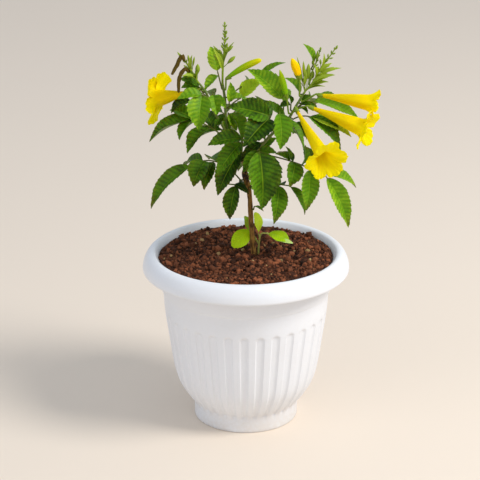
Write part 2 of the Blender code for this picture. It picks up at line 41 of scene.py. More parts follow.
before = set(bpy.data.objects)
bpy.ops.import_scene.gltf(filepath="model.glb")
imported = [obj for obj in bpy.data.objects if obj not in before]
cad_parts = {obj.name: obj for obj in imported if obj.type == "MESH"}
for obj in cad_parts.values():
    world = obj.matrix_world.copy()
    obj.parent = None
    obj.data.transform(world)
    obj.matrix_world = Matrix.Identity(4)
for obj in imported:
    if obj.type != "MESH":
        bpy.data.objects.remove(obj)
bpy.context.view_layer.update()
BODY = "root"
MM = 0.001


def srgb(red, green, blue):
    """A display colour of 0 to 255 a channel, as linear light with full alpha."""
    values = np.array([red, green, blue]) / 255
    linear = np.where(values > 0.04045, ((values + 0.055) / 1.055) ** 2.4, values / 12.92)
    return (*(float(value) for value in linear), 1.0)


# ---------------------------------------------------------------- plan of the pot and the soil

FLUTES = 32
FLUTE_PHASE = math.radians(-1.5)  # turn of one flute's middle from the front
FLUTE_DEPTH, FLUTE_EDGE = 1.5, 1.5  # the edge is the width over which a flute sinks
FLUTE_SHARE = 0.56  # recessed share of a flute's pitch
FLUTE_FOOT, FLUTE_ARCH = 15.5, 112.5
ARCH_HEIGHTS = (98.5, 114.5)  # with twice the mesh rows, for the flutes' round tops
BODY_STEP, RIM_STEP, INSIDE_STEP, SOIL_STEP = 2.2, 1.1, 6.0, 14.0  # between mesh rows
FOOT_RADIUS, FOOT_EDGE = 49.4, (50.3, 0.4)
# (radius, height) up the outside between the flutes
POT_BODY = [
    (50.8, 1.4), (50.8, 13.2), (51.4, 15.6), (52.8, 18.6), (59.0, 27.0), (66.8, 41.0), (71.1, 58.0),
    (75.6, 88.0), (79.0, 112.0), (80.6, 133.0), (81.7, 134.0), (85.4, 161.0),
]
# (radius, height) from the neck out under the lip, over the rolled rim and in to its inner edge
POT_RIM = [
    (86.4, 164.6), (88.8, 166.6), (92.0, 165.6), (95.2, 161.0), (97.4, 154.6), (98.4, 153.6),
    (99.6, 154.0), (100.0, 156.0), (98.9, 161.8), (95.8, 168.0), (91.6, 171.4), (88.2, 170.9),
    (86.5, 168.6),
]
# (radius, height) down the inside, with the soil against it
POT_INSIDE = [(82.0, 161.0), (72.2, 88.0), (67.7, 58.0), (63.4, 41.0), (55.6, 27.0), (48.0, 17.0)]
FLOOR_RADIUS, FLOOR_HEIGHT = 46.8, 3.0
DRAIN_RADIUS, DRAIN_CIRCLE, DRAINS = 4.0, 30.0, 4
DRAIN_SNAP = 1.1  # mesh points this near to a drain's edge are drawn onto it
SOIL_EDGE, SOIL_EDGE_RADIUS = 165.5, 84.0
SOIL_SKIN = 0.35  # kept from the pot's wall
SOIL_LUMPS = ((0.9, 46.0, 3), (0.6, 17.0, 5), (0.55, 6.5, 8))  # (height, length of a wave, seed)
SOIL_CROWN = 1.2  # how much higher its middle is
CRUMB_SIZES, CRUMB_REACH = (0.55, 3.0), 0.985
PALE_CRUMBS = 0.012  # share of the crumbs


# ---------------------------------------------------------------- plan of the plant

GAP, SEAT_GAP, ELBOW = 0.35, 0.55, 1.6
CAP = np.array([0.0, 0.6, 0.92])  # shares of the radius at a stem's rounded end
WOBBLE_SIZE, WAVES = 6.0, 7  # length of the lumps along a stem, and the number of waves in a sum
WOODY_HEIGHTS = (252, 300)  # over which a shoot goes from woody to green
# (x, y, z, radius) of each stem's axis
TRUNK = [
    (8, 0, 152, 2.8), (7.5, 0, 167, 2.7), (5, 0, 200, 2.5), (3, 0, 232, 2.3), (0, 0, 244, 3.1),
    (-1, 0, 250, 3.1), (-1, 0, 254, 2.3),
]
# each branch and raceme: the stem that carries it, the height it leaves at (None: it goes on from the
# end), then its own points
BRANCHES = {
    "branch_centre": (
        "trunk",
        None,
        [(-5, 3, 264, 1.6), (-10, 6, 275, 1.6), (-16, 8, 286, 1.5), (-19, 9, 300, 1.4),
         (-20, 9, 320, 1.3), (-22, 9, 335, 1.2)],
    ),
    "branch_left": (
        "branch_centre",
        288,
        [(-24, 1, 300, 1.3), (-31, -4, 314, 1.2), (-37, -8, 331, 1.1), (-44, -10, 342, 1.0)],
    ),
    "branch_right": (
        "trunk",
        247,
        [(6, -3, 262, 1.5), (12, -6, 276, 1.5), (24, -8, 291, 1.4), (38, -10, 305, 1.3),
         (48, -10, 322, 1.2), (54, -9, 332, 1.1)],
    ),
}

# ---------------------------------------------------------------- leaves

RACHIS_RADII = (0.779, 0.615)  # at its two ends
RACHIS_ELBOW = 2.0
LAST_FOOT = 0.985  # no leaflet's foot is farther along its rachis than this share
TOOTH_PITCH, TOOTH_LEAN = 3.6, 0.3  # how far a tooth points ahead, as a share of the pitch
TOOTH_ROWS, BLADE_COLUMNS = 4, 9  # mesh rows to a tooth, and columns from margin to margin
VEIN_SLANT, VEIN_SWELL = 0.495, 0.36  # of the side veins, and of the blade between them
RIB_HEIGHT, RIB_WIDTH = 0.35, 0.7  # of the midrib, on the underside
STALK = 0.42  # half-width of a leaflet's own stalk
TWIST = 0.28  # of a leaflet over its length, at most
BLADE_ARCH = 0.11  # bow of the midrib over the leaflet's length
LIGHT = np.array([0.20, -0.55, 0.35])  # leaflets also turn their faces this way
PAINTED_LIGHT_SIDE = np.array([-0.8, 0.0, -0.6])  # side of a folded blade whose half faces up to the light and is given painted light
PAINTED_LIGHT_SHARE = 0.14  # share of the lighter green painted onto that half as a painted highlight

# leaf: (stem, height on it, rachis end, rise of the rachis at its middle, share of the lighter green,
#        share of brown at the tips,
#        [(share of the rachis, leaflet tip, width, roll in degrees, more of the lighter green if given)])
LEAVES = {
    "leaf_low_left": ("trunk", 244, (-51.5, 12, 254), 11, 0.5, 0.35, [
        (1.00, (-92, 14, 208.5), 19, 0), (0.74, (-50, -8, 239), 21, 0), (0.78, (-60, 30, 246), 15, 0),
        (0.60, (-40, -8, 235.5), 15, 0, -0.2), (0.50, (-36, 38, 251), 16, 0),
    ]),
    "leaf_small_left": ("trunk", 240, (-9.5, -4, 240), 1, 0.2, 0.25, [
        (1.00, (-15.5, -10, 206.5), 16, 0), (0.70, (2, 18, 224), 11, 0),
    ]),
    "leaf_front_left": ("branch_centre", 264, (-3, -30, 294), 3, 0.4, 0.1, [
        (1.00, (-36, -34, 288.5), 17, 0), (0.80, (-27, -36, 260), 18, 0),
        (0.40, (-27, -22, 235), 21, 0, -0.2),
    ]),
    "leaf_mid_left": ("branch_centre", 282, (-50, -5, 304.5), 3, 0.45, 0.1, [
        (1.00, (-91.5, -8, 283.5), 22, 20, -0.1), (0.93, (-62.5, -24, 290.5), 16, 30),
        (0.95, (-73, 18, 307), 15, 0), (0.55, (-55.5, -18, 275.5), 18, 18, -0.1),
        (0.50, (-40, 34, 299), 15, 0),
    ]),
    "leaf_upper_left": ("branch_left", 329, (-41, -21, 334), 0, 0.78, 0.0, [
        (1.00, (-44, -37, 304.5), 22, 0), (0.80, (-64.5, -24, 330.5), 12, 0, 0.1),
    ]),
    "leaf_left_raceme": ("branch_left", 333, (-49, -4, 340), 0, 0.55, 0.0, [
        (1.00, (-62, 0, 343), 9, 0), (0.80, (-56, 4, 350), 8, 0),
    ]),
    "leaf_upper_mid": ("branch_left", 325, (-31, -16, 333), 0, 0.75, 0.0, [
        (1.00, (-27, -28, 316), 13, 0), (0.80, (-19, -18, 320), 9, 0),
    ]),
    "leaf_top_left": ("branch_centre", 330, (-27, 16, 346), 0, 1.0, 0.0, [
        (1.00, (-34, 28, 367), 15, 0), (0.80, (-39, 4, 330.5), 10, 0, -0.2),
    ]),
    # leaf_bright's high share of the lighter green is painted light: it stands for sun shining through this
    # leaf
    "leaf_bright": ("branch_centre", 312, (-5, 18, 319), 1, 1.5, 0.0, [
        (1.00, (16, 26, 334.5), 16, 5), (0.80, (-9, 40, 315), 12, 0),
    ]),
    "leaf_crown_back": ("branch_centre", 322, (14, 33, 336), 2, 0.5, 0.0, [
        (1.00, (38, 36, 349), 8, 0), (0.70, (4, 56, 316), 14, 0),
    ]),
    "leaf_crown": ("branch_right", 302, (36, 14, 318.5), 2, 0.85, 0.0, [
        (1.00, (1, 24, 345.5), 21, -35), (0.80, (30, 44, 322), 14, 0),
    ]),
    "leaf_centre": ("branch_right", 286, (23, -27, 315), 3, 0.3, 0.0, [
        (1.00, (-17, -30, 325), 22, -15), (0.90, (-3, -52, 293), 25, 0), (0.80, (8, -4, 328), 12, 30),
    ]),
    "leaf_right_inner": ("branch_right", 294, (31, -24, 318), 2, 0.5, 0.0, [
        (1.00, (31.5, -40, 286.5), 19, 0), (0.80, (54, -34, 284), 13, -30),
    ]),
    "leaf_front": ("branch_right", 264, (12, -34, 285), 3, 0.35, 0.0, [
        (1.00, (15, -50, 232), 32, 0), (0.85, (-3, -34, 262), 11, 0), (0.70, (29, -22, 277), 9, 0),
    ]),
    "leaf_right_low": ("branch_right", 273, (76, -12, 251), 3, 0.45, 0.35, [
        (1.00, (97.5, -18, 201), 18, 22, 0.25), (0.92, (106, 10, 231.5), 15, 0, 0.48),
        (0.75, (57, -28, 222), 17, 14, 0.22), (0.72, (54, 14, 273), 14, 0),
        (0.52, (40.5, -28, 245.5), 17, 0, 0.05), (0.50, (29, 12, 266), 11, 0),
        (0.46, (27, -14, 274), 6, 0), (0.62, (55, -16, 284), 9, 0), (0.44, (37, -12, 281), 6, 0),
    ]),
    "leaf_low_right": ("trunk", 236, (42, -10, 240.5), 2, 0.5, 0.4, [
        (1.00, (56, -14, 212.5), 11, 0), (0.70, (26, -30, 209), 17, 0), (0.85, (29, 0, 235), 12, 0, -0.2),
    ]),
    "leaf_right_upper": ("branch_right", 309, (61, -12, 309.5), 2, 0.55, 0.1, [
        # the first leaflet's added 0.7 of the lighter green is painted light: it lifts a leaflet that lies in
        # shade under a flower
        (1.00, (98.5, -24, 293.5), 15, 10, 0.7), (0.80, (88, -34, 283.5), 20, 0, -0.1),
    ]),
    "leaf_right_top": ("branch_right", 323, (62, 2, 321), 1, 0.7, 0.0, [
        (1.00, (107, 6, 302), 14, 10),
    ]),
    "leaf_raceme_right": ("branch_right", 330, (51, 1, 328), 0, 0.65, 0.0, [
        (1.00, (36, 6, 342.5), 11, 0),
    ]),
    "leaf_lance": ("raceme_side", 351, (63, 3, 357), 0, 0.85, 0.0, [
        (1.00, (53, 5, 376), 9, 0),
    ]),
    "leaf_back_low": ("trunk", 242, (12, 40, 246), 5, 0.35, 0.2, [
        (1.00, (16, 74, 226), 18, 0), (0.75, (-8, 58, 232), 15, 0), (0.75, (34, 52, 233), 15, 0),
    ]),
    "leaf_back_left": ("branch_centre", 272, (-28, 42, 282), 5, 0.4, 0.1, [
        (1.00, (-44, 70, 266), 18, 0), (0.75, (-50, 42, 268), 15, 0), (0.75, (-12, 64, 268), 15, 0),
    ]),
    "leaf_back_right": ("branch_right", 274, (34, 32, 284), 5, 0.35, 0.1, [
        (1.00, (46, 66, 268), 18, 0), (0.75, (62, 34, 272), 15, 0), (0.75, (20, 58, 272), 14, 0),
    ]),
    "leaf_back_upper_left": ("branch_left", 316, (-44, 32, 320), 4, 0.45, 0.0, [
        (1.00, (-62, 58, 302), 17, 0), (0.75, (-66, 34, 310), 14, 0), (0.75, (-32, 56, 306), 14, 0),
    ]),
    "leaf_back_centre": ("branch_centre", 298, (-2, 40, 303), 4, 0.5, 0.0, [
        (1.00, (8, 74, 290), 17, 0), (0.75, (-20, 60, 290), 14, 0), (0.75, (22, 56, 296), 14, 0),
    ]),
    "leaf_back_upper_right": ("branch_right", 314, (66, 26, 316), 4, 0.45, 0.1, [
        (1.00, (94, 46, 296), 17, 0), (0.75, (62, 54, 298), 14, 0),
    ]),
}

# thin foliage between the leaves, in the same terms
SPRIGS = {
    "sprig_centre": ("branch_centre", 300, (-17, 14, 306), 0, 0.5, 0.0, [
        (1.00, (-5, 14, 276), 21, 0), (0.80, (-9, 6, 290), 9, 0, 0.4), (0.60, (-17, 8, 289), 10, 0),
    ]),
    "sprig_centre_left": ("branch_centre", 306, (-22, 1, 310), 0, 0.25, 0.1, [
        (1.00, (-32, -2, 311), 9, 0), (0.80, (-29, -4, 295), 6, 0), (0.50, (-26, -2, 297), 8, 0, 0.2),
    ]),
    "sprig_bright_side": ("branch_centre", 312, (-16, 8, 319), 0, 0.8, 0.0, [
        (1.00, (-1, 12, 321), 12, 0), (0.80, (-15, 15, 336), 9, 30),
    ]),
    "sprig_maroon": ("branch_right", 303, (46, -12, 305), 0, 0.3, 1.5, [
        (1.00, (57, -18, 289), 11, 0),
    ]),
    "sprig_fork": ("branch_right", 296, (37, -2, 303), 1, 0.6, 0.5, [
        (1.00, (8, 0, 321), 13, 0),
    ]),
    "sprig_arch": ("branch_right", 262, (15, -14, 286), 1, 0.2, 0.0, [
        (1.00, (-5, -18, 267), 11, 0),
    ]),
    "sprig_inner": ("branch_right", 268, (17, 4, 274), 0, 0.5, 0.0, [
        (1.00, (29, 4, 284), 9, 0),
    ]),
    "sprig_flower_left": ("branch_left", 318, (-51, -2, 322), 1, 0.25, 0.0, [
        (1.00, (-71, 4, 308), 14, 0),
    ]),
    "sprig_raceme_left": ("branch_left", 336, (-44, -6, 337), 0, 0.5, 0.0, [
        (1.00, (-61, -6, 336), 11, 0), (0.90, (-61, -8, 346), 7, 0),
    ]),
    "sprig_raceme_right": ("branch_right", 318, (52, -8, 321), 0, 0.5, 0.3, [
        (1.00, (63, -14, 330), 9, 0), (0.90, (68, -16, 317), 8, 0), (0.70, (61, -14, 323), 5, 0),
        (0.50, (58, -14, 313), 6, 0),
    ]),
    "sprig_elbow": ("branch_right", 314, (42, -5, 320), 0, 0.3, 0.0, [
        (1.00, (39, -6, 330), 6, 0), (0.90, (31, -4, 317), 8, 0),
    ]),
    "sprig_trunk_left": ("trunk", 240, (-19, -8, 242), 0, 0.2, 0.2, [
        (0.60, (3, -10, 232), 8, 0),
    ]),
    "sprig_trunk_right": ("trunk", 214, (8, -4, 218), 0, 0.75, 0.4, [
        (1.00, (17, -8, 214), 3.5, 0),
    ]),
    "sprig_front_low": ("trunk", 236, (8, -12, 240), 0, 0.4, 0.1, [
        (1.00, (15, -14, 220), 11, 0),
    ]),
}

# ---------------------------------------------------------------- seedling at the foot of the trunk

SEEDLING_STEM = [(12, 4, 155, 1.0), (12, 4, 168, 1.0), (12.5, 3, 177, 0.9), (14, 0, 187, 0.8),
                 (16, -3, 190, 0.7), (20, -6, 191, 0.65)]
# (share of the stem, start of the blade, leaf tip, width, roll in degrees, share of the lighter green,
#  whether its pale side shows)
SEEDLING_LEAVES = [
    (0.50, (4, 8, 190), (-13, -6, 177), 16, -25, 0.7, 0),
    (0.50, (3, 10, 187), (-1.5, 12, 202), 12, 0, 0.5, 0),
    (0.66, (12, 6, 187), (8.5, 9, 207), 13, 0, 1.3, 0),
    (1.00, (21, -6, 191), (41, -14, 186), 15, 0, 0.35, 0),
    (1.00, (29, -13, 186), (45, -17, 185), 5, 0, 1.0, 1),
]

# ---------------------------------------------------------------- racemes

RACEMES = {
    "raceme_centre": (
        "branch_centre",
        None,
        [(-22, 9, 349, 1.0), (-21, 9, 364, 0.8), (-20, 9, 378, 0.6), (-20, 9, 393, 0.5)],
    ),
    "raceme_left": (
        "branch_left",
        None,
        [(-52, -11, 356, 0.8), (-59, -11, 367, 0.6)],
    ),
    "raceme_right": (
        "branch_right",
        None,
        [(62, -8, 342, 0.9), (69, -7, 355, 0.8), (77, -7, 366, 0.6), (83, -7, 375, 0.5)],
    ),
    "raceme_side": (
        "raceme_right",
        339,
        [(60, 1, 346, 0.7), (64, 4, 354, 0.6), (67, 4, 362, 0.6), (69, 4, 370, 0.5)],
    ),
}
# raceme: number of bud pairs, length of the lowest bud with its stalk, share of the stalk below it
RACEME_BUDS = {
    "raceme_centre": (11, 11.0, 0.48),
    "raceme_left": (5, 11.0, 0.20),
    "raceme_right": (8, 13.0, 0.25),
    "raceme_side": (4, 7.0, 0.55),
}
PAIR_TURN = 1.9  # from one pair of buds to the next
# bigger buds low on a raceme: (share of its stalk, tip, radius)
LOW_BUDS = {
    "raceme_centre": [
        (0.46, (-31, 9, 373), 1.0), (0.48, (-12, 9, 373), 1.2), (0.30, (-31, 5, 366), 1.3),
        (0.28, (-10, 9, 363), 1.9),
    ],
    "raceme_left": [
        (0.10, (-45, -11, 361), 2.2), (0.45, (-48, -11, 368), 1.0), (0.55, (-54, -12, 370), 1.2),
        (0.70, (-64, -13, 373), 1.1), (0.35, (-58, -15, 361), 1.1),
    ],
    "raceme_right": [
        (0.02, (49, -12, 359), 1.2), (0.05, (47, -10, 368), 0.8), (0.10, (58, -10, 361), 2.3),
        (0.14, (62, -9, 354), 1.4), (0.02, (54, -12, 350), 1.4), (0.06, (44, -11, 352), 1.0),
        (0.03, (53, -12, 364), 1.5), (0.07, (55, -11, 356), 1.8),
    ],
    "raceme_side": [(0.5, (62, 1, 361), 1.3), (0.6, (67, 0, 371), 1.1)],
}
# small leaves on a raceme: (share of its stalk, tip, width)
BRACTS = {
    "raceme_centre": [(0.22, (-31, 4, 372), 5.0), (0.26, (-11, 12, 376), 5.0)],
    "raceme_left": [(0.15, (-60, -22, 352), 5.0), (0.45, (-50, -16, 371), 4.5), (0.1, (-43, -16, 356), 5.0)],
    "raceme_right": [
        (0.16, (83, -14, 351), 7.5), (0.34, (89, -8, 356), 5.0), (0.1, (77, -13, 344), 5.5),
        (0.06, (74, -14, 340), 3.0), (0.3, (63, -12, 361), 5.0), (0.52, (72, -9, 371), 3.5),
        (0.42, (80, -8, 361), 4.5), (0.2, (76, -12, 350), 5.0),
    ],
}

# ---------------------------------------------------------------- flowers, buds and pods

TUBE_SHARE, TUBE_WIDTH = (0.0, 0.25, 0.5, 0.75, 1.0), (0.16, 0.32, 0.57, 0.82, 1.0)  # over the throat's
COROLLA_WALL, CALYX_WALL = 0.35, 0.45
COROLLA_COLUMNS, TUBE_ROWS, LIMB_ROWS = 160, 34, 24
TUBE_LEAN = math.radians(14)  # of the tube's wall at its throat, from its axis
# (side of the tube's top that a stamen leans to, share of the tube it reaches)
STAMENS = [(-0.6, 0.72), (-0.2, 0.8), (0.2, 0.8), (0.6, 0.72)]
STYLE_REACH = 0.86
ANTHER = 2.2
# flower: (stem, height it leaves at, calyx foot, throat centre, throat radius, length of the lobes,
#          share of it left in the notches, turn of the first lobe in degrees,
#          [(bend of a lobe in degrees, its share of the length, curl of its edge in degrees)])
FLOWERS = {
    "flower_left": ("branch_left", 338, (-53, -10, 333), (-80.5, 8, 322.5), 7.4, 17.5, 0.42, 18, [
        (45, 1.2, 10), (48, 1.45, 0), (92, 1.0, 15), (124, 1.25, 10), (120, 1.3, 5),
    ]),
    "flower_right_upper": ("branch_right", 326, (66, -14, 332), (112, -21, 327), 7.4, 13.0, 0.55, 0, [
        (24, 0.95, 15), (26, 0.8, 10), (20, 0.95, 20), (14, 0.95, 0), (28, 1.0, 10),
    ]),
    "flower_right_middle": ("branch_right", 319, (58, -19, 322), (105.5, -32, 306.5), 8.0, 15.0, 0.3, -12, [
        (56, 0.9, 5), (80, 1.0, 8), (50, 1.3, 5), (50, 1.2, 5), (84, 1.0, 5),
    ]),
    "flower_front": ("branch_right", 313, (46, -20, 320.5), (69, -66, 290.5), 6.8, 17.0, 0.74, -6, [
        (66, 1.08, 24), (30, 1.12, 22), (30, 1.22, 20), (46, 1.2, 18), (76, 1.36, 14),
    ]),
}
# closed bud: (raceme or branch, height, foot, tip, widest radius, green share at its foot and tip,
#              orange share, (where it is fullest, how pointed its ends are))
BUDS = {
    "bud_yellow": (
        "branch_right", 329, (50, -13, 347), (42, -15, 367.5), 3.9, (0.0, 0.0), 0.28, (0.5, 0.75),
    ),
    "bud_opening": (
        "branch_centre", 331, (-19, 4, 342), (14.5, 2, 361.5), 3.2, (1.0, 0.4), 0.0, (0.62, 0.32),
    ),
    "bud_slender": (
        "branch_right", 312, (38, -13, 328), (31, -13, 356), 3.0, (1.0, 0.75), 0.0, (0.45, 0.75),
    ),
}
# seed pod: (raceme, height, its points)
PODS = {
    "pod_upper": ("raceme_left", 365, [(-60, -13, 369), (-64, -14, 361), (-69, -15, 352)]),
    "pod_long": ("raceme_left", 355, [(-57, -15, 357), (-62, -16, 349), (-63, -16, 335)]),
}
POD_RADIUS = 1.8
# ---------------------------------------------------------------- arrays


def unit(vectors):
    """Vectors over their own lengths."""
    return vectors / np.maximum(np.linalg.norm(vectors, axis=-1, keepdims=True), 1e-12)


def smoothstep(low, high, values):
    """3s^2 - 2s^3, where s is how far a value is from low to high."""
    share = np.clip((values - low) / (high - low), 0, 1)
    return share * share * (3 - 2 * share)


def seeded(name):
    """The same run of random numbers each time for a piece of this name."""
    return np.random.default_rng(sum(ord(letter) * (place + 1) for place, letter in enumerate(name)))


def waves(points, size, seed):
    """A smooth lumpy value between about -1 and 1: cosines of about that wavelength in all directions."""
    draw = np.random.default_rng(seed)
    directions = unit(draw.normal(size=(WAVES, 3))) * draw.uniform(0.7, 1.5, (WAVES, 1))
    phases = draw.uniform(0, 2 * math.pi, WAVES)
    return np.cos(points @ directions.T * (2 * math.pi / size) + phases).sum(-1) / math.sqrt(WAVES)


def smooth_path(points, steps):
    """Catmull-Rom curve: each span blends its two ends and their outer neighbours by cubic weights."""
    rows = np.array([points[0], *points, points[-1]], float)
    before, start, end, after = rows[:-3], rows[1:-2], rows[2:-1], rows[3:]
    t = np.linspace(0, 1, steps, endpoint=False)[:, None, None]
    curve = 0.5 * (
        2 * start
        + (end - before) * t
        + (2 * before - 5 * start + 4 * end - after) * t**2
        + (3 * start - before - 3 * end + after) * t**3
    )
    return np.concatenate([curve.swapaxes(0, 1).reshape(-1, rows.shape[1]), rows[-1:]])


def bezier(start, crown, end, t):
    """Quadratic curve: (1-t)^2 start + 2t(1-t) crown + t^2 end."""
    t = np.asarray(t)[:, None]
    return start * (1 - t) ** 2 + crown * (2 * t * (1 - t)) + end * t**2


def resample(path, share):
    """Rows of a path at these shares of its length."""
    steps = np.linalg.norm(np.diff(path[:, :3], axis=0), axis=1)
    along = np.concatenate([[0], np.cumsum(steps)])
    return np.stack([np.interp(np.asarray(share) * along[-1], along, column) for column in path.T], -1)


def measured(foot, tip):
    """A line from a foot to a tip: both as arrays, its unit way and its length."""
    foot, tip = np.asarray(foot, float), np.asarray(tip, float)
    length = np.linalg.norm(tip - foot)
    return foot, tip, (tip - foot) / length, length


def crossed(ways):
    """Two unit ways across one way or a row of them, by the world axis that is least like them."""
    side = unit(np.cross(ways, np.eye(3)[np.argmin(np.abs(np.atleast_2d(ways)).max(0))]))
    return side, np.cross(ways, side)


def turned(first, second, angle):
    """Two crossed ways, turned by an angle in their own plane."""
    return first * np.cos(angle) + second * np.sin(angle), second * np.cos(angle) - first * np.sin(angle)


def around(columns):
    """Angles of a whole turn, with the first again at the end."""
    return np.linspace(0, 2 * math.pi, columns + 1)


def ring(side, other, angle):
    """The ways from side through other and round, one for each angle."""
    return side * np.cos(angle)[:, None] + other * np.sin(angle)[:, None]


def patch(grid, uv=None, vein=0.0, tone=0.5, age=0.0, under=0.0, extra=0.0):
    """A closed surface: a grid of points whose edges meet, with UV, vein and four paint values for each."""
    grid[:, -1] = grid[:, 0]
    shape = grid.shape[:2]
    if uv is None:
        uv = np.stack(np.meshgrid(np.linspace(0, 1, shape[1]), np.linspace(0, 1, shape[0])), -1)
    paint = np.stack([np.broadcast_to(value, shape) for value in (tone, age, under, extra)], -1)
    return {"grid": grid, "uv": uv, "paint": paint, "vein": np.broadcast_to(vein, shape)}


def outward(grid):
    """Whether a closed grid's faces point out: the sign of the volume that they enclose tells."""
    a, b, c, d = grid[:-1, :-1], grid[:-1, 1:], grid[1:, 1:], grid[1:, :-1]
    volume = (np.cross(b, c) * a).sum() + (np.cross(c, d) * a).sum()
    return volume > 0


def tube(path, radii, sides, wobble=0.0, seed=0, tone=0.5, extra=0.0):
    """A stem: circles carried along a path, closed by a rounded cap at each end."""
    spread = [0, 0, 0, *range(1, len(path) - 1), -1, -1, -1]
    tangents = unit(np.gradient(path, axis=0))
    points, tangents, side, other = (rows[spread] for rows in (path, tangents, *crossed(tangents)))
    radii = np.broadcast_to(radii, len(path))[spread]
    reach = np.concatenate([CAP, np.ones(len(path) - 2), CAP[::-1]])
    bulge = np.concatenate([CAP - 1, np.zeros(len(path) - 2), 1 - CAP[::-1]]) * 0.5 * radii
    rings = ring(side[:, None], other[:, None], around(sides))
    centre = (points + tangents * bulge[:, None])[:, None]
    swell = 1 + wobble * waves(centre + rings * radii[:, None, None], WOBBLE_SIZE, seed)[..., None]
    return patch(centre + rings * (radii * reach)[:, None, None] * swell, tone=tone, extra=extra)


# ---------------------------------------------------------------- meshes


def make_piece(name, patches, material, stands_for=(), sharp=50):
    """One mesh object from closed grids: quads between neighbours, with equal points made one."""
    points, uvs, paints, veins = (
        np.concatenate([item[key].reshape(-1, width) for item in patches])
        for key, width in (("grid", 3), ("uv", 2), ("paint", 4), ("vein", 1))
    )
    quads, start = [], 0
    for item in patches:
        rows, columns = item["grid"].shape[:2]
        index = start + np.arange(rows * columns).reshape(rows, columns)
        corners = [index[:-1, :-1], index[:-1, 1:], index[1:, 1:], index[1:, :-1]]
        faces = np.stack(corners, -1).reshape(-1, 4)
        quads.append(faces if outward(item["grid"]) else faces[:, ::-1])
        start += rows * columns
    quads = np.concatenate(quads)

    _, first, welded = np.unique(np.round(points, 3), axis=0, return_index=True, return_inverse=True)
    corner = welded.reshape(-1)[quads]
    kept = corner != np.roll(corner, -1, axis=1)
    whole = (kept.sum(1) >= 3) & (corner[:, 0] != corner[:, 2]) & (corner[:, 1] != corner[:, 3])
    corner, kept, quads = corner[whole], kept[whole], quads[whole]

    mesh = bpy.data.meshes.new(name)
    mesh.vertices.add(len(first))
    mesh.vertices.foreach_set("co", (points[first] * MM).ravel())
    mesh.loops.add(int(kept.sum()))
    mesh.loops.foreach_set("vertex_index", corner[kept])
    mesh.polygons.add(len(quads))
    mesh.polygons.foreach_set("loop_start", np.concatenate([[0], np.cumsum(kept.sum(1))[:-1]]))
    mesh.update(calc_edges=True)
    mesh.uv_layers.new(name="UVMap").data.foreach_set("uv", uvs[quads[kept]].ravel())
    mesh.attributes.new("paint", "FLOAT_COLOR", "POINT").data.foreach_set("color", paints[first].ravel())
    mesh.attributes.new("vein", "FLOAT", "POINT").data.foreach_set("value", veins[first].ravel())
    mesh.validate()
    mesh.shade_smooth()
    mesh.set_sharp_from_angle(angle=math.radians(sharp))
    mesh.materials.append(material)
    obj = bpy.data.objects.new(name, mesh)
    bpy.context.scene.collection.objects.link(obj)
    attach(obj, BODY)
    if stands_for:
        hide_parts(*stands_for)


# ---------------------------------------------------------------- materials


def opaque(tint):
    """A colour of three channels with full alpha."""
    return (*tint, 1.0)


class Tree:
    """Adds nodes to a node tree: inputs are given by name, as a value or as an output to link from."""

    def __init__(self, tree):
        self.tree = tree

    def put(self, socket, value):
        if isinstance(value, bpy.types.NodeSocket):
            self.tree.links.new(value, socket)
        elif value is not None:
            socket.default_value = value

    def add(self, kind, inputs=None, output=0, **settings):
        node = self.tree.nodes.new("ShaderNode" + kind)
        for setting, value in settings.items():
            setattr(node, setting, value)
        for key, value in (inputs or {}).items():
            self.put(node.inputs[key], value)
        return node.outputs[output]

    def math(self, operation, first, second=None, third=None):
        return self.add("Math", {0: first, 1: second, 2: third}, operation=operation)

    def band(self, value, low, high, bottom=0.0, top=1.0):
        """Rises smoothly from bottom to top as value goes from low to high."""
        inputs = {"Value": value, "From Min": low, "From Max": high, "To Min": bottom, "To Max": top}
        return self.add("MapRange", inputs, interpolation_type="SMOOTHSTEP")

    def blend(self, share, first, second):
        """A colour that goes from the first to the second with the share."""
        return self.add("Mix", {0: share, 6: first, 7: second}, 2, data_type="RGBA")

    def noise(self, scale, detail=3.0, vector=None, roughness=0.55):
        vector = vector or self.add("TexCoord", output="Object")
        inputs = {"Vector": vector, "Scale": scale, "Detail": detail, "Roughness": roughness}
        return self.add("TexNoise", inputs, "Fac")

    def height(self):
        """Height over the pot's underside, in metres."""
        return self.add("SeparateXYZ", {0: self.add("TexCoord", output="Object")}, "Z")

    def group(self, build, name, inputs):
        """The outputs of a node group, which is built the first time."""
        node = self.tree.nodes.new("ShaderNodeGroup")
        node.node_tree = bpy.data.node_groups.get(name) or build()
        for key, value in inputs.items():
            self.put(node.inputs[key], value)
        return node.outputs

    def mottle(self, coarse, fine, share):
        return self.group(mottle_group, "Mottle", {"Coarse": coarse, "Fine": fine, "Share": share})

    def paint(self):
        """The mesh's first three paint values."""
        colour = self.add("Attribute", output="Color", attribute_name="paint")
        return self.add("SeparateColor", {0: colour}, 0).node.outputs

    def bump(self, height, strength, distance):
        return self.add("Bump", {"Height": height, "Strength": strength, "Distance": distance})


def new_group(name, inputs, outputs):
    """A node group with float inputs and their defaults, and float outputs."""
    tree = bpy.data.node_groups.new(name, "ShaderNodeTree")
    for label, default in inputs.items():
        socket = tree.interface.new_socket(label, in_out="INPUT", socket_type="NodeSocketFloat")
        socket.default_value = default
    for label in outputs:
        tree.interface.new_socket(label, in_out="OUTPUT", socket_type="NodeSocketFloat")
    entry, leave = tree.nodes.new("NodeGroupInput"), tree.nodes.new("NodeGroupOutput")
    return Tree(tree), entry.outputs, leave.inputs


def mottle_group():
    """Mottle: coarse and fine noise on the piece, as one mask and one height."""
    defaults = {"Coarse": 60.0, "Fine": 600.0, "Share": 0.4}
    tree, given, out = new_group("Mottle", defaults, ("Mask", "Height"))
    coarse, fine = tree.noise(given["Coarse"], 2.0), tree.noise(given["Fine"], 4.0)
    mask = tree.add("Mix", {0: given["Share"], 2: coarse, 3: fine})
    tree.put(out["Mask"], tree.band(mask, 0.32, 0.68))
    tree.put(out["Height"], fine)
    return tree.tree


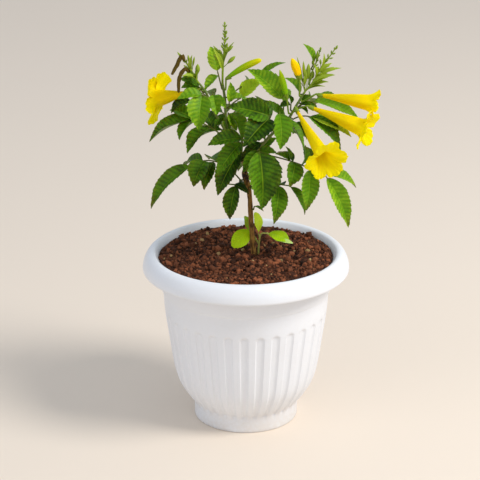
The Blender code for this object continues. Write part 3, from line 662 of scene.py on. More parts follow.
def vein_group():
    """Leaf Veins: side veins where the vein value passes a whole number, the midrib at u = 0.5, and the
    swelling of the blade between the veins."""
    outputs = ("Mask", "Midrib", "Swell", "Height")
    tree, given, out = new_group("Leaf Veins", {"Width": 0.16, "Midrib": 0.07}, outputs)
    phase = tree.add("Attribute", output="Fac", attribute_name="vein")
    phase = tree.math("MULTIPLY_ADD", tree.noise(260.0, 1.0), 0.5, phase)
    across = tree.add("SeparateXYZ", {0: tree.add("TexCoord", output="UV")}, "X")
    across = tree.math("ABSOLUTE", tree.math("MULTIPLY_ADD", across, 2.0, -1.0))
    saw = tree.math("PINGPONG", phase, 0.5)
    veins = tree.band(saw, 0.0, given["Width"], 1.0, 0.0)
    midrib = tree.band(across, 0.0, given["Midrib"], 1.0, 0.0)
    swell = tree.math("MULTIPLY", tree.band(saw, 0.0, 0.5), tree.band(across, 0.0, 0.3))
    tree.put(out["Mask"], tree.math("MULTIPLY", veins, tree.band(across, 0.75, 1.0, 1.0, 0.2)))
    tree.put(out["Midrib"], midrib)
    tree.put(out["Swell"], swell)
    tree.put(out["Height"], tree.math("SUBTRACT", swell, tree.math("MULTIPLY", midrib, 0.6)))
    return tree.tree


def new_material(name, roughness, **constants):
    """(tree, shader inputs, material) of a new Principled material, with its constant values set."""
    material = bpy.data.materials.new(name)
    material.use_nodes = True
    shader = material.node_tree.nodes["Principled BSDF"]
    shader.inputs["Roughness"].default_value = roughness
    for label, value in constants.items():
        shader.inputs[label.replace("_", " ")].default_value = value
    return Tree(material.node_tree), shader.inputs, material


def plastic_material(look):
    """White moulded plastic: nearly even, with a faint dusty shade that is stronger low down."""
    tree, shader, material = new_material("pot_white_plastic", 0.36, Specular_IOR_Level=0.5)
    mottle = tree.mottle(14.0, 260.0, 0.3)
    low = tree.band(tree.height(), 0.0, 0.03, 0.5, 0.0)
    dust = tree.math("MULTIPLY", mottle["Mask"], tree.math("ADD", low, 0.12))
    tree.put(shader["Base Color"], tree.blend(dust, opaque(look.pot_colour), srgb(214, 204, 192)))
    tree.put(shader["Roughness"], tree.band(mottle["Mask"], 0.0, 1.0, 0.32, 0.44))
    tree.put(shader["Normal"], tree.bump(mottle["Height"], 0.05, 0.0004))
    return material


def soil_material(look):
    """Potting mix: each crumb has its own brown, and a few are pale."""
    tree, shader, material = new_material("soil_crumbs", 0.95, Specular_IOR_Level=0.25)
    mottle, paint = tree.mottle(180.0, 1400.0, 0.5), tree.paint()
    tone = tree.math("MULTIPLY_ADD", paint[0], 0.8, tree.math("MULTIPLY", mottle["Mask"], 0.2))
    brown = tree.blend(tone, opaque(look.soil_dark), opaque(look.soil_light))
    tree.put(shader["Base Color"], tree.blend(paint[1], brown, srgb(196, 166, 112)))
    tree.put(shader["Normal"], tree.bump(mottle["Height"], 0.9, 0.0006))
    return material


def bark_material():
    """Young bark: brown with fine upright streaks, and a dark, patchy scar at the fork."""
    tree, shader, material = new_material("bark_skin", 0.8, Specular_IOR_Level=0.3)
    place = tree.add("TexCoord", output="Object")
    stretched = tree.add("Mapping", {"Vector": place, "Scale": (900.0, 900.0, 160.0)})
    streaks = tree.noise(1.0, 4.0, stretched, 0.6)
    brown = tree.blend(tree.band(streaks, 0.35, 0.65), srgb(78, 50, 14), srgb(170, 124, 56))
    height = tree.height()
    scar = tree.math("MULTIPLY", tree.band(height, 0.239, 0.245), tree.band(height, 0.252, 0.258, 1.0, 0.0))
    patchy = tree.math("MULTIPLY", scar, tree.band(tree.noise(420.0), 0.4, 0.55, 0.35, 1.0))
    tree.put(shader["Base Color"], tree.blend(patchy, brown, srgb(38, 22, 14)))
    tree.put(shader["Normal"], tree.bump(streaks, 0.7, 0.0005))
    return material


def plant_material(name, young, old, roughness=0.55, **constants):
    """Green shoots, stalks and buds: the paint's first value leads from the young to the old colour."""
    tree, shader, material = new_material(name, roughness, **constants)
    mottle, paint = tree.mottle(120.0, 1500.0, 0.5), tree.paint()
    share = tree.math("MULTIPLY_ADD", mottle["Mask"], 0.3, tree.math("SUBTRACT", paint[0], 0.15))
    tree.put(shader["Base Color"], tree.blend(tree.add("Clamp", {0: share}), young, old))
    tree.put(shader["Normal"], tree.bump(mottle["Height"], 0.35, 0.0003))
    return material


def leaf_material(name, dark, light, young, below, stalk, old):
    """Leaf blade: three greens by leaflet, painted shade in the vein furrows and a painted highlight on the
    swells between them, a pale underside, and brown where it is old.
    """
    tree, shader, material = new_material(
        name, 0.45, Specular_IOR_Level=0.13, Subsurface_Weight=0.1, Subsurface_Scale=0.002
    )
    mottle, paint = tree.mottle(110.0, 900.0, 0.35), tree.paint()
    veins = tree.group(vein_group, "Leaf Veins", {})
    tone = tree.math("MULTIPLY_ADD", mottle["Mask"], 0.25, paint[0])
    # painted highlight: the blade is painted lighter where it swells between the side veins, and a little
    # darker elsewhere
    tone = tree.math("MULTIPLY_ADD", veins["Swell"], 0.12, tree.math("SUBTRACT", tone, 0.12))
    worn = tree.math("MULTIPLY", paint[1], tree.band(mottle["Mask"], 0.0, 0.8, 0.7, 1.0))
    green = tree.blend(tree.band(tone, 0.1, 0.75), dark, light)
    for share, tint in (
        (tree.band(tone, 0.7, 1.4), young),
        # painted shade: the side veins' furrows are painted darker
        (tree.math("MULTIPLY", veins["Mask"], 0.2), dark),
        (tree.math("MULTIPLY", veins["Midrib"], 0.28), young),
        (tree.math("MULTIPLY", paint[2], 0.85), below),
        (worn, old),
        (tree.add("Attribute", output="Alpha", attribute_name="paint"), stalk),
    ):
        green = tree.blend(share, green, tint)
    tree.put(shader["Base Color"], green)
    tree.put(shader["Roughness"], tree.band(mottle["Mask"], 0.0, 1.0, 0.4, 0.58))
    relief = tree.math("MULTIPLY_ADD", mottle["Height"], 0.15, veins["Height"])
    tree.put(shader["Normal"], tree.bump(relief, 0.4, 0.0004))
    return material


def petal_material(look):
    """Petal: strong yellow, more orange down the tube and in the throat's lines, and green at its foot."""
    tree, shader, material = new_material(
        "petal_skin", 0.6, Specular_IOR_Level=0.06, Subsurface_Weight=0.6, Subsurface_Scale=0.004,
        Subsurface_Radius=(0.8, 0.7, 0.05),
    )
    mottle, paint = tree.mottle(90.0, 800.0, 0.3), tree.paint()
    edge = tree.math("MULTIPLY_ADD", mottle["Mask"], 0.15, paint[0])
    yellow = tree.blend(edge, opaque(look.petal_deep), opaque(look.petal_bright))
    yellow = tree.blend(paint[1], yellow, srgb(236, 140, 10))
    tree.put(shader["Base Color"], tree.blend(paint[2], yellow, srgb(122, 172, 16)))
    tree.put(shader["Normal"], tree.bump(mottle["Height"], 0.15, 0.0003))
    return material


# ---------------------------------------------------------------- pot and soil


def revolved(radii, heights, angle):
    """A turned surface: each height's radius, the same all round or one for each angle, round +Z."""
    x, y = radii * np.cos(angle), radii * np.sin(angle)
    return np.stack([x, y, np.broadcast_to(heights[:, None], x.shape)], -1)


def outline(rows, spacing):
    """A fine (radius, height) line through rows, with points about a spacing apart."""
    path = smooth_path([(radius, 0.0, height) for radius, height in rows], 8)
    length = np.linalg.norm(np.diff(path, axis=0), axis=1).sum()
    fine = resample(path, np.linspace(0, 1, max(int(length / spacing), 2)))
    return fine[:, [0, 2]]


def flute_depth(height, angle):
    """Depth of the flutes: inside a slot with straight sides, a round arch on top and a round foot."""
    pitch = 2 * math.pi / FLUTES
    turn = np.mod(angle + math.pi / 2 - FLUTE_PHASE + pitch / 2, pitch) - pitch / 2
    radius = np.interp(height, [row[1] for row in POT_BODY], [row[0] for row in POT_BODY])
    half = FLUTE_SHARE * pitch * radius / 2
    over = np.maximum(height - (FLUTE_ARCH - half), 0) + np.maximum(FLUTE_FOOT + half * 0.6 - height, 0)
    inside = half - np.hypot(np.abs(turn) * radius, over)
    return FLUTE_DEPTH * smoothstep(0.0, FLUTE_EDGE, inside)


def pot_grid(flute_columns):
    """Profile rows turned round the axis: underside, foot, fluted body, rim, inner wall and floor."""
    angle = around(FLUTES * flute_columns)
    under = np.linspace(0, FOOT_RADIUS, 34)
    body, rim = outline(POT_BODY, BODY_STEP), outline(POT_RIM, RIM_STEP)
    arch = body[(body[:, 1] > ARCH_HEIGHTS[0]) & (body[:, 1] < ARCH_HEIGHTS[1]), 1]
    finer = np.union1d(body[:, 1], (arch[:-1] + arch[1:]) / 2)
    body = np.stack([np.interp(finer, body[:, 1], body[:, 0]), finer], -1)
    inside = outline([*POT_INSIDE, (FLOOR_RADIUS, FLOOR_HEIGHT)], INSIDE_STEP)
    floor = [(radius, FLOOR_HEIGHT) for radius in np.linspace(FLOOR_RADIUS - 4, 0, 5)]
    rows = np.concatenate([[(radius, 0.0) for radius in under], [FOOT_EDGE], body, rim, inside, floor])
    radius = np.tile(rows[:, :1], (1, len(angle)))
    fluted = slice(len(under) + 1, len(under) + 1 + len(body))
    radius[fluted] -= flute_depth(rows[fluted, 1:], angle[None])
    return sunk_drains(revolved(radius, rows[:, 1], angle), len(under))


def sunk_drains(grid, rows):
    """Drain holes: underside points are drawn onto each hole's edge, and those inside it are sunk."""
    for index in range(DRAINS):
        turn = math.radians(45) + 2 * math.pi * index / DRAINS
        centre = np.array([DRAIN_CIRCLE * math.cos(turn), DRAIN_CIRCLE * math.sin(turn)])
        offset = grid[:rows, :, :2] - centre
        distance = np.linalg.norm(offset, axis=-1)
        snapped = np.where(np.abs(distance - DRAIN_RADIUS) < DRAIN_SNAP, DRAIN_RADIUS, distance)
        grid[:rows, :, :2] = centre + offset * (snapped / np.maximum(distance, 1e-6))[..., None]
        grid[:rows, :, 2] += np.where(snapped < DRAIN_RADIUS - 0.01, FLOOR_HEIGHT * 0.8, 0.0)
    return grid


def soil_height(x, y):
    """Height of the soil: nearly level, a little higher in the middle, heaped in lumps of three sizes."""
    flat = np.stack([x, y, np.zeros_like(x)], -1)
    reach = np.hypot(x, y) / SOIL_EDGE_RADIUS
    lumps = sum(height * waves(flat, size, seed) for height, size, seed in SOIL_LUMPS)
    return SOIL_EDGE + 0.3 + SOIL_CROWN * (1 - reach**2) + lumps * (1 - 0.4 * reach**8)


def soil_patches():
    """The soil's body: a lumpy top over the plain form of the pot's inside."""
    angle = around(300)
    edge, foot = (SOIL_EDGE_RADIUS - 0.4, SOIL_EDGE - 1.5), (FLOOR_RADIUS, FLOOR_HEIGHT + 0.5)
    wall = outline([edge, *POT_INSIDE, foot], SOIL_STEP)
    top = np.linspace(0, SOIL_EDGE_RADIUS, 84)[:, None]
    x, y = top * np.cos(angle), top * np.sin(angle)
    crown = np.stack([x, y, soil_height(x, y)], -1)
    side = revolved(wall[:, :1] - SOIL_SKIN, wall[:, 1], angle)
    bottom = np.zeros((1, len(angle), 3)) + [0.0, 0.0, foot[1]]
    grid = np.concatenate([crown, side, bottom])
    # the body under the crumbs is painted near black: partly the damp soil's own dark brown, partly painted
    # shade in the gaps between the crumbs
    return [patch(grid, tone=0.08 + 0.10 * waves(grid, 5.0, 21))]


def crumb_patches(count):
    """Loose crumbs: a six-sided pebble of three rings for each, knobbly and turned its own way."""
    draw = seeded("crumbs")
    reach = SOIL_EDGE_RADIUS * CRUMB_REACH * np.sqrt(draw.uniform(0, 1, count))
    turn = draw.uniform(0, 2 * math.pi, count)
    size = np.clip(draw.lognormal(0.12, 0.42, count), *CRUMB_SIZES)
    x, y = reach * np.cos(turn), reach * np.sin(turn)
    lift = soil_height(x, y) + size * draw.uniform(-0.35, 0.45, count)
    tone = np.clip(draw.beta(0.7, 0.8, count) * (0.75 + 0.12 * size), 0, 1)
    pale = (draw.uniform(0, 1, count) < PALE_CRUMBS) * draw.uniform(0.5, 1.0, count)
    polar = np.array([0, 0.30, 0.56, 0.78, 1.0]) * math.pi
    ball = revolved(np.sin(polar)[:, None], np.cos(polar), around(6))
    knobs = draw.uniform(0.62, 1.25, (count, 5, 7))
    knobs[:, 0], knobs[:, -1] = knobs[:, :1, 0], knobs[:, -1:, 0]
    knobs[:, :, -1] = knobs[:, :, 0]
    stretch = draw.uniform(0.7, 1.5, (count, 1, 1, 3))
    shapes = ball * knobs[..., None] * stretch * size[:, None, None, None]
    basis = np.linalg.qr(draw.normal(size=(count, 3, 3)))[0]
    shapes = np.einsum("nrci,nij->nrcj", shapes, basis) + np.stack([x, y, lift], -1)[:, None, None]
    return [patch(grid, tone=shade, age=light) for grid, shade, light in zip(shapes, tone, pale)]


# ---------------------------------------------------------------- stems and leaves


def at_height(path, height):
    """(point, tangent, radius) where a rising path passes a height."""
    above = int(np.argmax(path[:, 2] >= height))
    near, far = path[max(above - 1, 0)], path[max(above, 1)]
    row = near + (far - near) * np.clip((height - near[2]) / (far[2] - near[2]), 0, 1)
    return row[:3], unit(far[:3] - near[:3]), row[3]


def seat(path, height, toward):
    """Where a side shoot leaves a stem for a point: (on the stem's axis, just outside it, outward)."""
    point, tangent, radius = at_height(path, height)
    way = np.asarray(toward, float) - point
    way = unit(way - tangent * (way @ tangent))
    return point, point + way * (radius + SEAT_GAP), way


def side_stalk(path, height, toward, points, steps):
    """A stalk's line: square out of a stem towards a point, then smoothly through its points."""
    heart, start, way = seat(path, height, toward)
    return smooth_path([heart, start, start + way * ELBOW, *points], steps)


def stem_paths():
    """(x, y, z, radius) rows along the trunk, each branch and raceme, starting inside what carries them."""
    paths = {"trunk": smooth_path(TRUNK, 6)}
    for name, (carrier, height, points) in (BRANCHES | RACEMES).items():
        radius = points[0][3]
        if height is None:
            heart, way = paths[carrier][-1, :3], unit(paths[carrier][-1, :3] - paths[carrier][-2, :3])
            start = heart + way * GAP
        else:
            heart, start, way = seat(paths[carrier], height, points[0][:3])
        elbow = (*(start + way * ELBOW), radius)
        first = np.array([(*heart, radius * 1.25), (*start, radius * 1.15)])
        paths[name] = np.concatenate([first, smooth_path([elbow, *points], 6)])
    return paths


def blade_facing(axis, tip, roll):
    """The way a leaflet's face looks: up, away from the trunk and to the light, rolled about its axis."""
    facing = unit(np.array([tip[0], tip[1], 0.0])) * 0.4 + [0.0, 0.0, 0.7] + LIGHT
    facing = unit(facing - axis * (facing @ axis))
    return turned(facing, np.cross(axis, facing), math.radians(roll))[0]


def blade_outline(t, widest, point, blunt):
    """Half-width over length: a sine of t to a power, drawn out at the tip, on a short thin stalk."""
    power = math.log(0.5) / math.log(widest)
    body = np.clip((t - 0.05) / 0.95, 0, 1)
    shape = np.sin(math.pi * body**power) ** blunt
    return shape * (1 - point * smoothstep(0.55, 1.0, t) * 0.45)


def leaflet(
    base, tip, width, roll, draw, tone, age, teeth=None, fold=0.7, widest=0.38, point=0.6, bite=0.13,
    blunt=0.85, pale=0,
):
    """One leaflet: rows along a bowed midrib, columns round the section from margin to margin and back.

    The margin is a saw of teeth that point to the tip. Over the width the blade folds up as a V,
    bulges between its side veins and waves a little, and it twists along its length. The half that
    turns up to the light is painted a little paler than the other one, as a painted highlight.
    """
    base, tip, axis, length = measured(base, tip)
    facing = blade_facing(axis, tip, roll)
    if teeth is None:
        teeth = int(np.clip(length / TOOTH_PITCH, 5, 14))
    t = np.linspace(0, 1, TOOTH_ROWS * teeth + 1)
    over = np.linspace(-1, 1, BLADE_COLUMNS)
    s = np.concatenate([over, over[-2::-1]])
    top = np.repeat([1.0, -1.0], [BLADE_COLUMNS, BLADE_COLUMNS - 1]) * (np.abs(s) < 1)
    crown = (base + tip) / 2 + facing * (2 * BLADE_ARCH * length)
    middle = bezier(base, crown, tip, t)
    tangent = unit(np.gradient(middle, axis=0))
    normal = unit(facing - tangent * (tangent @ facing)[:, None])
    twist = (draw.uniform(-1, 1) * TWIST * (t - 0.3))[:, None]
    across, normal = turned(np.cross(tangent, normal), normal, twist)

    t, away = t[:, None], np.abs(s)
    half = np.maximum(width / 2 * blade_outline(t, widest, point, blunt), STALK * (t < 0.5) * (t > 0))
    saw = np.mod(teeth * t, 1.0) * smoothstep(0.08, 0.2, t) * (t < 0.995)
    pitch = length / teeth
    reach = s * half * (1 + bite * (saw - 0.35) * away**5)
    forward = (saw * TOOTH_LEAN * pitch * away**5) * (half > 1.0)
    phase = teeth * t - VEIN_SLANT * away * half / pitch
    lobe = draw.uniform(0, 2 * math.pi, 2)
    wave = np.where(s < 0, np.sin(9 * t + lobe[0]), np.sin(9 * t + lobe[1]))
    lift = half * (fold * away**1.25 - 0.10 * away**4 + 0.07 * wave * away**2)
    swell = np.abs(np.sin(math.pi * phase)) - 0.6
    lift += VEIN_SWELL * swell * np.sin(math.pi * away) * smoothstep(1.0, 5.0, half)
    thick = (0.26 - 0.1 * t) * (1 - 0.75 * away**3) * (half > 0)
    rib = RIB_HEIGHT * (top < 0) * np.exp(-((s * half / RIB_WIDTH) ** 2)) * (1 - 0.7 * t)
    lift = lift + top * (thick + rib)
    moves = ((across, reach), (normal, lift), (tangent, forward))
    grid = middle[:, None] + sum(way[:, None] * amount[..., None] for way, amount in moves)
    grid[0], grid[-1] = middle[0], middle[-1]
    # painted highlight: the half of the blade that faces up to the light is painted paler than the other half
    painted_light = (across @ PAINTED_LIGHT_SIDE)[:, None] * s * smoothstep(0.05, 0.4, away)
    return patch(
        grid,
        np.stack(np.broadcast_arrays((s + 1) / 2, t), -1),
        phase,
        tone=tone + draw.uniform(-0.1, 0.1) + PAINTED_LIGHT_SHARE * painted_light,
        age=np.clip(age * smoothstep(0.72, 0.95, t) + age * 0.25 * away**6 * t, 0, 1),
        under=np.maximum((top < 0) * 1.0, pale),
        extra=1 - smoothstep(0.03, 0.09, t),
    )


def rachis(path, height, end, rise):
    """The leaf stalk: out of the stem, then bowed up to its end."""
    heart, start, way = seat(path, height, end)
    elbow = start + way * min(RACHIS_ELBOW, np.linalg.norm(end - start) * 0.25)
    crown = (elbow + end) / 2 + np.array([0.0, 0.0, 2.0 * rise])
    return np.concatenate([[heart, start], bezier(elbow, crown, end, np.linspace(0, 1, 13))])


def leaf_patches(name, paths):
    """A compound leaf: its stalk and a leaflet from each share of it, measured from the stem's bark."""
    stem, height, end, rise, tone, age, leaflets = (LEAVES | SPRIGS)[name]
    draw = seeded(name)
    points = rachis(paths[stem], height, np.array(end, float), rise)
    feet = resample(points[1:], [min(share, LAST_FOOT) for share, *_ in leaflets])
    return [tube(points, np.linspace(*RACHIS_RADII, len(points)), 8, extra=1.0)] + [
        leaflet(foot, tip, width, roll, draw, tone + sum(more), age)
        for foot, (_, tip, width, roll, *more) in zip(feet, leaflets)
    ]


def seedling_patches():
    """A young shoot: a bent stem with a stalked, rounder, barely toothed leaf at each place."""
    draw = seeded("seedling")
    path = smooth_path(SEEDLING_STEM, 5)
    patches = [tube(path[:, :3], path[:, 3], 10, extra=1.0)]
    for share, base, tip, width, roll, tone, pale in SEEDLING_LEAVES:
        start = resample(path[:, :3], [share])[0]
        bend = (start + base) / 2 + np.array([0.0, 0.0, 1.5])
        stalk = bezier(start, bend, np.array(base, float), np.linspace(0, 1, 8))
        patches.append(tube(stalk, np.linspace(0.7, 0.45, 8), 8, extra=1.0))
        patches.append(leaflet(base, tip, width, roll, draw, tone, 0.0, 12, 0.16, 0.52, 0.0, 0.04, 0.6, pale))
    return patches


# ---------------------------------------------------------------- racemes, buds and pods


def spindle(
    foot, tip, radius, sides, rows, fullest=0.55, sharpness=0.8, *, tone, ribs=0, green=(0, 0), orange=0.0,
    bow=0.0,
):
    """A closed bud: a sine of the length to a power, turned round a line that bows up from foot to tip."""
    foot, tip, axis, length = measured(foot, tip)
    t = np.linspace(0, 1, rows)
    reach = radius * np.sin(math.pi * t ** (math.log(0.5) / math.log(fullest))) ** sharpness
    reach[[0, -1]] = 0
    angle = around(sides)
    fluting = 1 + 0.07 * np.cos(ribs * angle)[:, None] * (ribs > 0)
    crown = (foot + tip) / 2 + [0.0, 0.0, 2 * bow * length]
    grid = bezier(foot, crown, tip, t)[:, None] + ring(*crossed(axis), angle) * reach[:, None, None] * fluting
    t = t[:, None]
    fade = green[0] + (green[1] - green[0]) * t**2
    return patch(grid, tone=np.clip(tone + 0.25 * (t - 0.5), 0, 1), age=orange, under=fade)


def cup(foot, brim, base, mouth, teeth, sides, tone):
    """A calyx: a thin wall that widens from its foot to a brim of pointed teeth, and back inside."""
    foot, brim, axis, length = measured(foot, brim)
    angle = around(sides)
    point = np.abs(np.cos(teeth * angle / 2)) ** 1.6
    t = np.concatenate([np.linspace(0, 1, 9), np.linspace(1, 0.15, 6)])
    wall = np.concatenate([np.zeros(10), np.full(5, CALYX_WALL)])
    swell = np.where(t < 0.3, np.sin(np.clip(t / 0.3, 0, 1) * math.pi / 2), 1.0)
    reach = (base + (mouth - base) * t) * swell - wall
    reach[0] = reach[-1] = 0
    t = t[:, None]
    height = length * t * (0.82 + 0.26 * point * t**2)
    ribs = 1 + 0.05 * np.cos(teeth * angle)
    out = ring(*crossed(axis), angle) * (reach[:, None] * ribs)[..., None]
    return patch(foot + axis * height[..., None] + out, tone=tone + 0.15 * t)


def small_bud(foot, tip, radius, way):
    """A bud of a raceme: a short stalk that leaves along the raceme's way, a cup and the closed petals."""
    foot, tip, lean, size = measured(foot, tip)
    neck = foot + lean * size * 0.36
    bend = (foot + neck) / 2 - way * 0.2
    return [
        tube(bezier(foot, bend, neck, np.linspace(0, 1, 5)), 0.38, 6, tone=0.45),
        cup(neck - lean * 0.3, neck + lean * size * 0.25, 0.4, radius * 0.74 + 0.26, 5, 10, tone=0.35),
        spindle(neck, tip, radius, 10, 10, fullest=0.5, tone=0.55),
    ]


def raceme_patches(name, path):
    """A flower stalk with paired buds on short stalks, each pair turned from the last and shorter."""
    pairs, longest, bare = RACEME_BUDS[name]
    draw = seeded(name)
    axis = path[1:, :3]
    patches = [tube(path[:, :3], path[:, 3], 10, wobble=0.05, tone=0.55)]
    shares = bare + (0.95 - bare) * np.arange(pairs) / (pairs - 1)
    feet = resample(axis, shares)
    ahead = unit(resample(axis, np.minimum(shares + 0.05, 1)) - resample(axis, shares - 0.05))
    for pair, (foot, way, share) in enumerate(zip(feet, ahead, shares)):
        side = unit(np.cross(way, [0.0, 1.0, 0.3]))
        for half_turn in (0.0, math.pi):
            lean = turned(side, np.cross(way, side), half_turn + pair * PAIR_TURN)[0]
            lean = unit(lean + way * draw.uniform(1.1, 1.6))
            size = longest * (1 - 0.7 * share) * draw.uniform(0.85, 1.12)
            patches += small_bud(foot, foot + lean * size, 0.115 * size + 0.12, way)
    for share, tip, radius in LOW_BUDS[name]:
        patches += small_bud(resample(axis, [share])[0], tip, radius, ahead[0])
    patches.append(spindle(axis[-1] - [0, 0, 1.0], axis[-1] + ahead[-1] * 3.2, 1.0, 10, 9, tone=0.5))
    for share, tip, width in BRACTS.get(name, ()):
        patches.append(leaflet(resample(axis, [share])[0], tip, width, 0, draw, 0.8, 0.0, 4, widest=0.45))
    return patches


def bud_patches(name, paths):
    """A big closed flower bud on its stalk, with a toothed calyx round its foot."""
    stem, height, foot, tip, radius, green, orange, shape = BUDS[name]
    stalk = side_stalk(paths[stem], height, foot, [foot], 5)
    foot, tip, axis, _ = measured(foot, tip)
    looks = {"tone": 0.75, "ribs": 5, "green": green, "orange": orange, "bow": 0.045}
    body = spindle(foot - axis, tip, radius * 0.98, 20, 26, *shape, **looks)
    sepals = cup(foot - axis * 1.2, foot + axis * 4.6, 0.9, radius * 0.62 + 0.5, 5, 40, tone=0.3)
    return [tube(stalk, np.linspace(0.7, 0.85, len(stalk)), 8, tone=0.4), body, sepals]


def pod_patches(name, paths):
    """A dry seed pod: a lumpy tube that hangs from its stalk and tapers to its beak."""
    stem, height, points = PODS[name]
    rows = side_stalk(paths[stem], height, points[0], points, 6)
    share = np.linspace(0, 1, len(rows))
    taper = smoothstep(0.25, 0.55, share) * (1 - 0.4 * smoothstep(0.8, 1.0, share))
    return [tube(rows, 0.55 + (POD_RADIUS - 0.45) * taper, 12, wobble=0.1, seed=4)]


# ---------------------------------------------------------------- flowers


def corolla(foot, mouth, throat, limb, notch, roll, lobes):
    """A trumpet flower: a round tube that widens to its throat and bends out into five ruffled lobes.

    Rows run from the foot to the throat, out over each lobe to its edge and back down the inside, a wall's
    thickness in. A lobe's reach falls from its middle to the notch beside it by a power of the angle.
    Each lobe has its own bend, in degrees from the tube's axis, its share of the limb's length, and the
    curl that its edge adds to the bend.
    """
    foot, mouth, axis, length = measured(foot, mouth)
    side = unit(np.cross(axis, [0.0, 0.0, 1.0]))
    side, other = turned(side, np.cross(axis, side), math.radians(roll))

    angle = around(COROLLA_COLUMNS)
    fifths = angle / (2 * math.pi / len(lobes))
    lobe = np.mod(np.floor(fifths + 0.5), len(lobes)).astype(int)
    off = np.abs(np.mod(fifths + 0.5, 1.0) - 0.5) * 2
    bend, share, curl = (np.array(column, float)[lobe] for column in zip(*lobes))
    bend, curl = (np.convolve(np.pad(row[:-1], 4, "wrap"), np.ones(9) / 9, "valid") for row in (bend, curl))
    bend, curl = (np.radians(np.append(row, row[0])) for row in (bend, curl))
    reach = limb * share * (notch + (1 - notch) * np.sqrt(1 - off**2.6))
    reach *= 1 + 0.02 * np.cos(15 * angle + 1.0) + 0.015 * np.cos(29 * angle)

    s = np.linspace(0, 1, TUBE_ROWS)
    tube_reach = throat * np.interp(s, TUBE_SHARE, TUBE_WIDTH)
    tube_reach[2:-2] = np.convolve(tube_reach, np.ones(5) / 5, "valid")
    along = length * s
    m = np.linspace(0, 1, LIMB_ROWS + 1)[1:, None]
    tilt = TUBE_LEAN + (bend - TUBE_LEAN) * smoothstep(0.0, 0.6, m) + curl * smoothstep(0.55, 1.0, m)
    step = reach / len(m)
    out = throat + np.cumsum(np.sin(tilt) * step, axis=0)
    ahead = length + np.cumsum(np.cos(tilt) * step, axis=0)
    wave = np.sin(10 * angle + 1.3) + 0.5 * np.sin(25 * angle + 0.4)
    trough = -0.11 * np.cos(2 * math.pi * off * 0.5) * m * (1 - m)
    ruffle = limb * (0.055 * m**3 * wave * (1 - off**6) + trough - 0.05 * m**2 * (1 - off**2))
    out, ahead = out - np.cos(tilt) * ruffle, ahead + np.sin(tilt) * ruffle
    folds = 1 + 0.05 * np.cos(5 * angle) * smoothstep(0.35, 1.0, s)[:, None]
    out = np.concatenate([tube_reach[:, None] * folds, out + throat * 0.05 * np.cos(5 * angle)])
    ahead = np.concatenate([np.tile(along[:, None], (1, len(angle))), ahead])
    rings = ring(side, other, angle)
    outer = foot + axis * ahead[..., None] + rings * out[..., None]
    outer[:, -1] = outer[:, 0]
    down, round_it = np.gradient(outer, axis=0), np.gradient(outer, axis=1)
    round_it[:, [0, -1]] = (outer[:, 1] - outer[:, -2])[:, None] / 2
    normal = unit(np.cross(down, round_it))
    normal *= np.sign((normal[5] * rings).sum(-1).mean())
    inner = outer - normal * COROLLA_WALL
    inner[0] = inner[1] = foot + axis * along[1]
    pole = np.zeros((1, len(angle), 3)) + foot
    grid = np.concatenate([pole, outer, inner[-2:0:-1], inner[:1]])
    rows = np.concatenate([[0], np.arange(len(outer)), np.arange(len(outer) - 2, 0, -1), [0]])[:, None]
    inside = (np.arange(len(rows)) > len(outer))[:, None] * 1.0
    on_limb, on_tube = np.clip((rows - len(s) + 1) / len(m), 0, 1), np.clip(rows / len(s), 0, 1)
    lines = np.clip(np.cos(15 * angle), 0, 1) ** 3
    middle = np.cos(math.pi * off / 2) ** 2
    orange = inside * 0.1 * (1 - smoothstep(0.0, 0.25, on_limb))
    orange = orange + inside * (0.14 * lines + 0.08 * middle) * (1 - on_limb)
    orange = orange + (1 - inside) * 0.30 * (1 - on_tube) * lines
    return patch(
        grid,
        # painted light: the inside of the tube and throat is painted brighter to stand for sun through the
        # petals against the throat's shade
        tone=0.1 + 0.6 * np.maximum(on_tube**2, inside) + 0.3 * smoothstep(0.25, 1.0, on_limb),
        age=np.clip(orange, 0, 1),
        under=(1 - inside) * (1 - smoothstep(0.0, 0.14, on_tube)) * 0.6,
    )


def stamen_patches(foot, mouth, throat):
    """Four filaments that rise from the tube's floor along its upper side, an anther across each end, and
    the style between them."""
    foot, mouth, axis, _ = measured(foot, mouth)
    side = unit(np.cross(axis, [0.0, 0.0, 1.0]))
    patches = []
    for lean, reach in [*STAMENS, (0.0, STYLE_REACH)]:
        share = np.array([0.03, 0.3, 0.55, reach])
        offset = throat * np.interp(share, TUBE_SHARE, TUBE_WIDTH) * [0.3, 0.55, 0.62, 0.5]
        way = unit(np.cross(side, axis) + side * lean)
        thread = smooth_path(foot + (mouth - foot) * share[:, None] + way * offset[:, None], 5)
        half = side * ANTHER / 2
        patches.append(tube(thread, np.linspace(0.25, 0.18, len(thread)), 6, tone=1.0))
        patches.append(spindle(thread[-1] - half, thread[-1] + half, 0.45, 8, 8, tone=0.8, orange=0.2))
    return patches


def calyx_patches(path, height, foot, mouth, throat):
    """The stalk of an open flower and the green cup that holds its tube."""
    foot, mouth, axis, _ = measured(foot, mouth)
    stalk = side_stalk(path, height, foot, [foot - axis * 1.6, foot], 6)
    grip = throat * TUBE_WIDTH[0]
    return [
        tube(stalk, np.linspace(0.65, 0.95, len(stalk)), 10, tone=0.45),
        cup(foot - axis * 0.8, foot + axis * 5.6, grip + 0.4, grip + 1.1, 5, 50, tone=0.35),
    ]



# ---------------------------------------------------------------- settings


def colour(name, red, green, blue, text):
    """A colour property from a display colour."""
    tint = srgb(red, green, blue)[:3]
    return bpy.props.FloatVectorProperty(
        name=name, description=text, subtype="COLOR", size=3, min=0.0, max=1.0, default=tint
    )


class PotSettings(bpy.types.PropertyGroup):
    pot_colour: colour("Pot", 236, 238, 243, "Colour of the moulded plastic")
    columns: bpy.props.IntProperty(
        name="Flute columns", description="Mesh columns over a flute and its land", default=12, min=6, max=20
    )


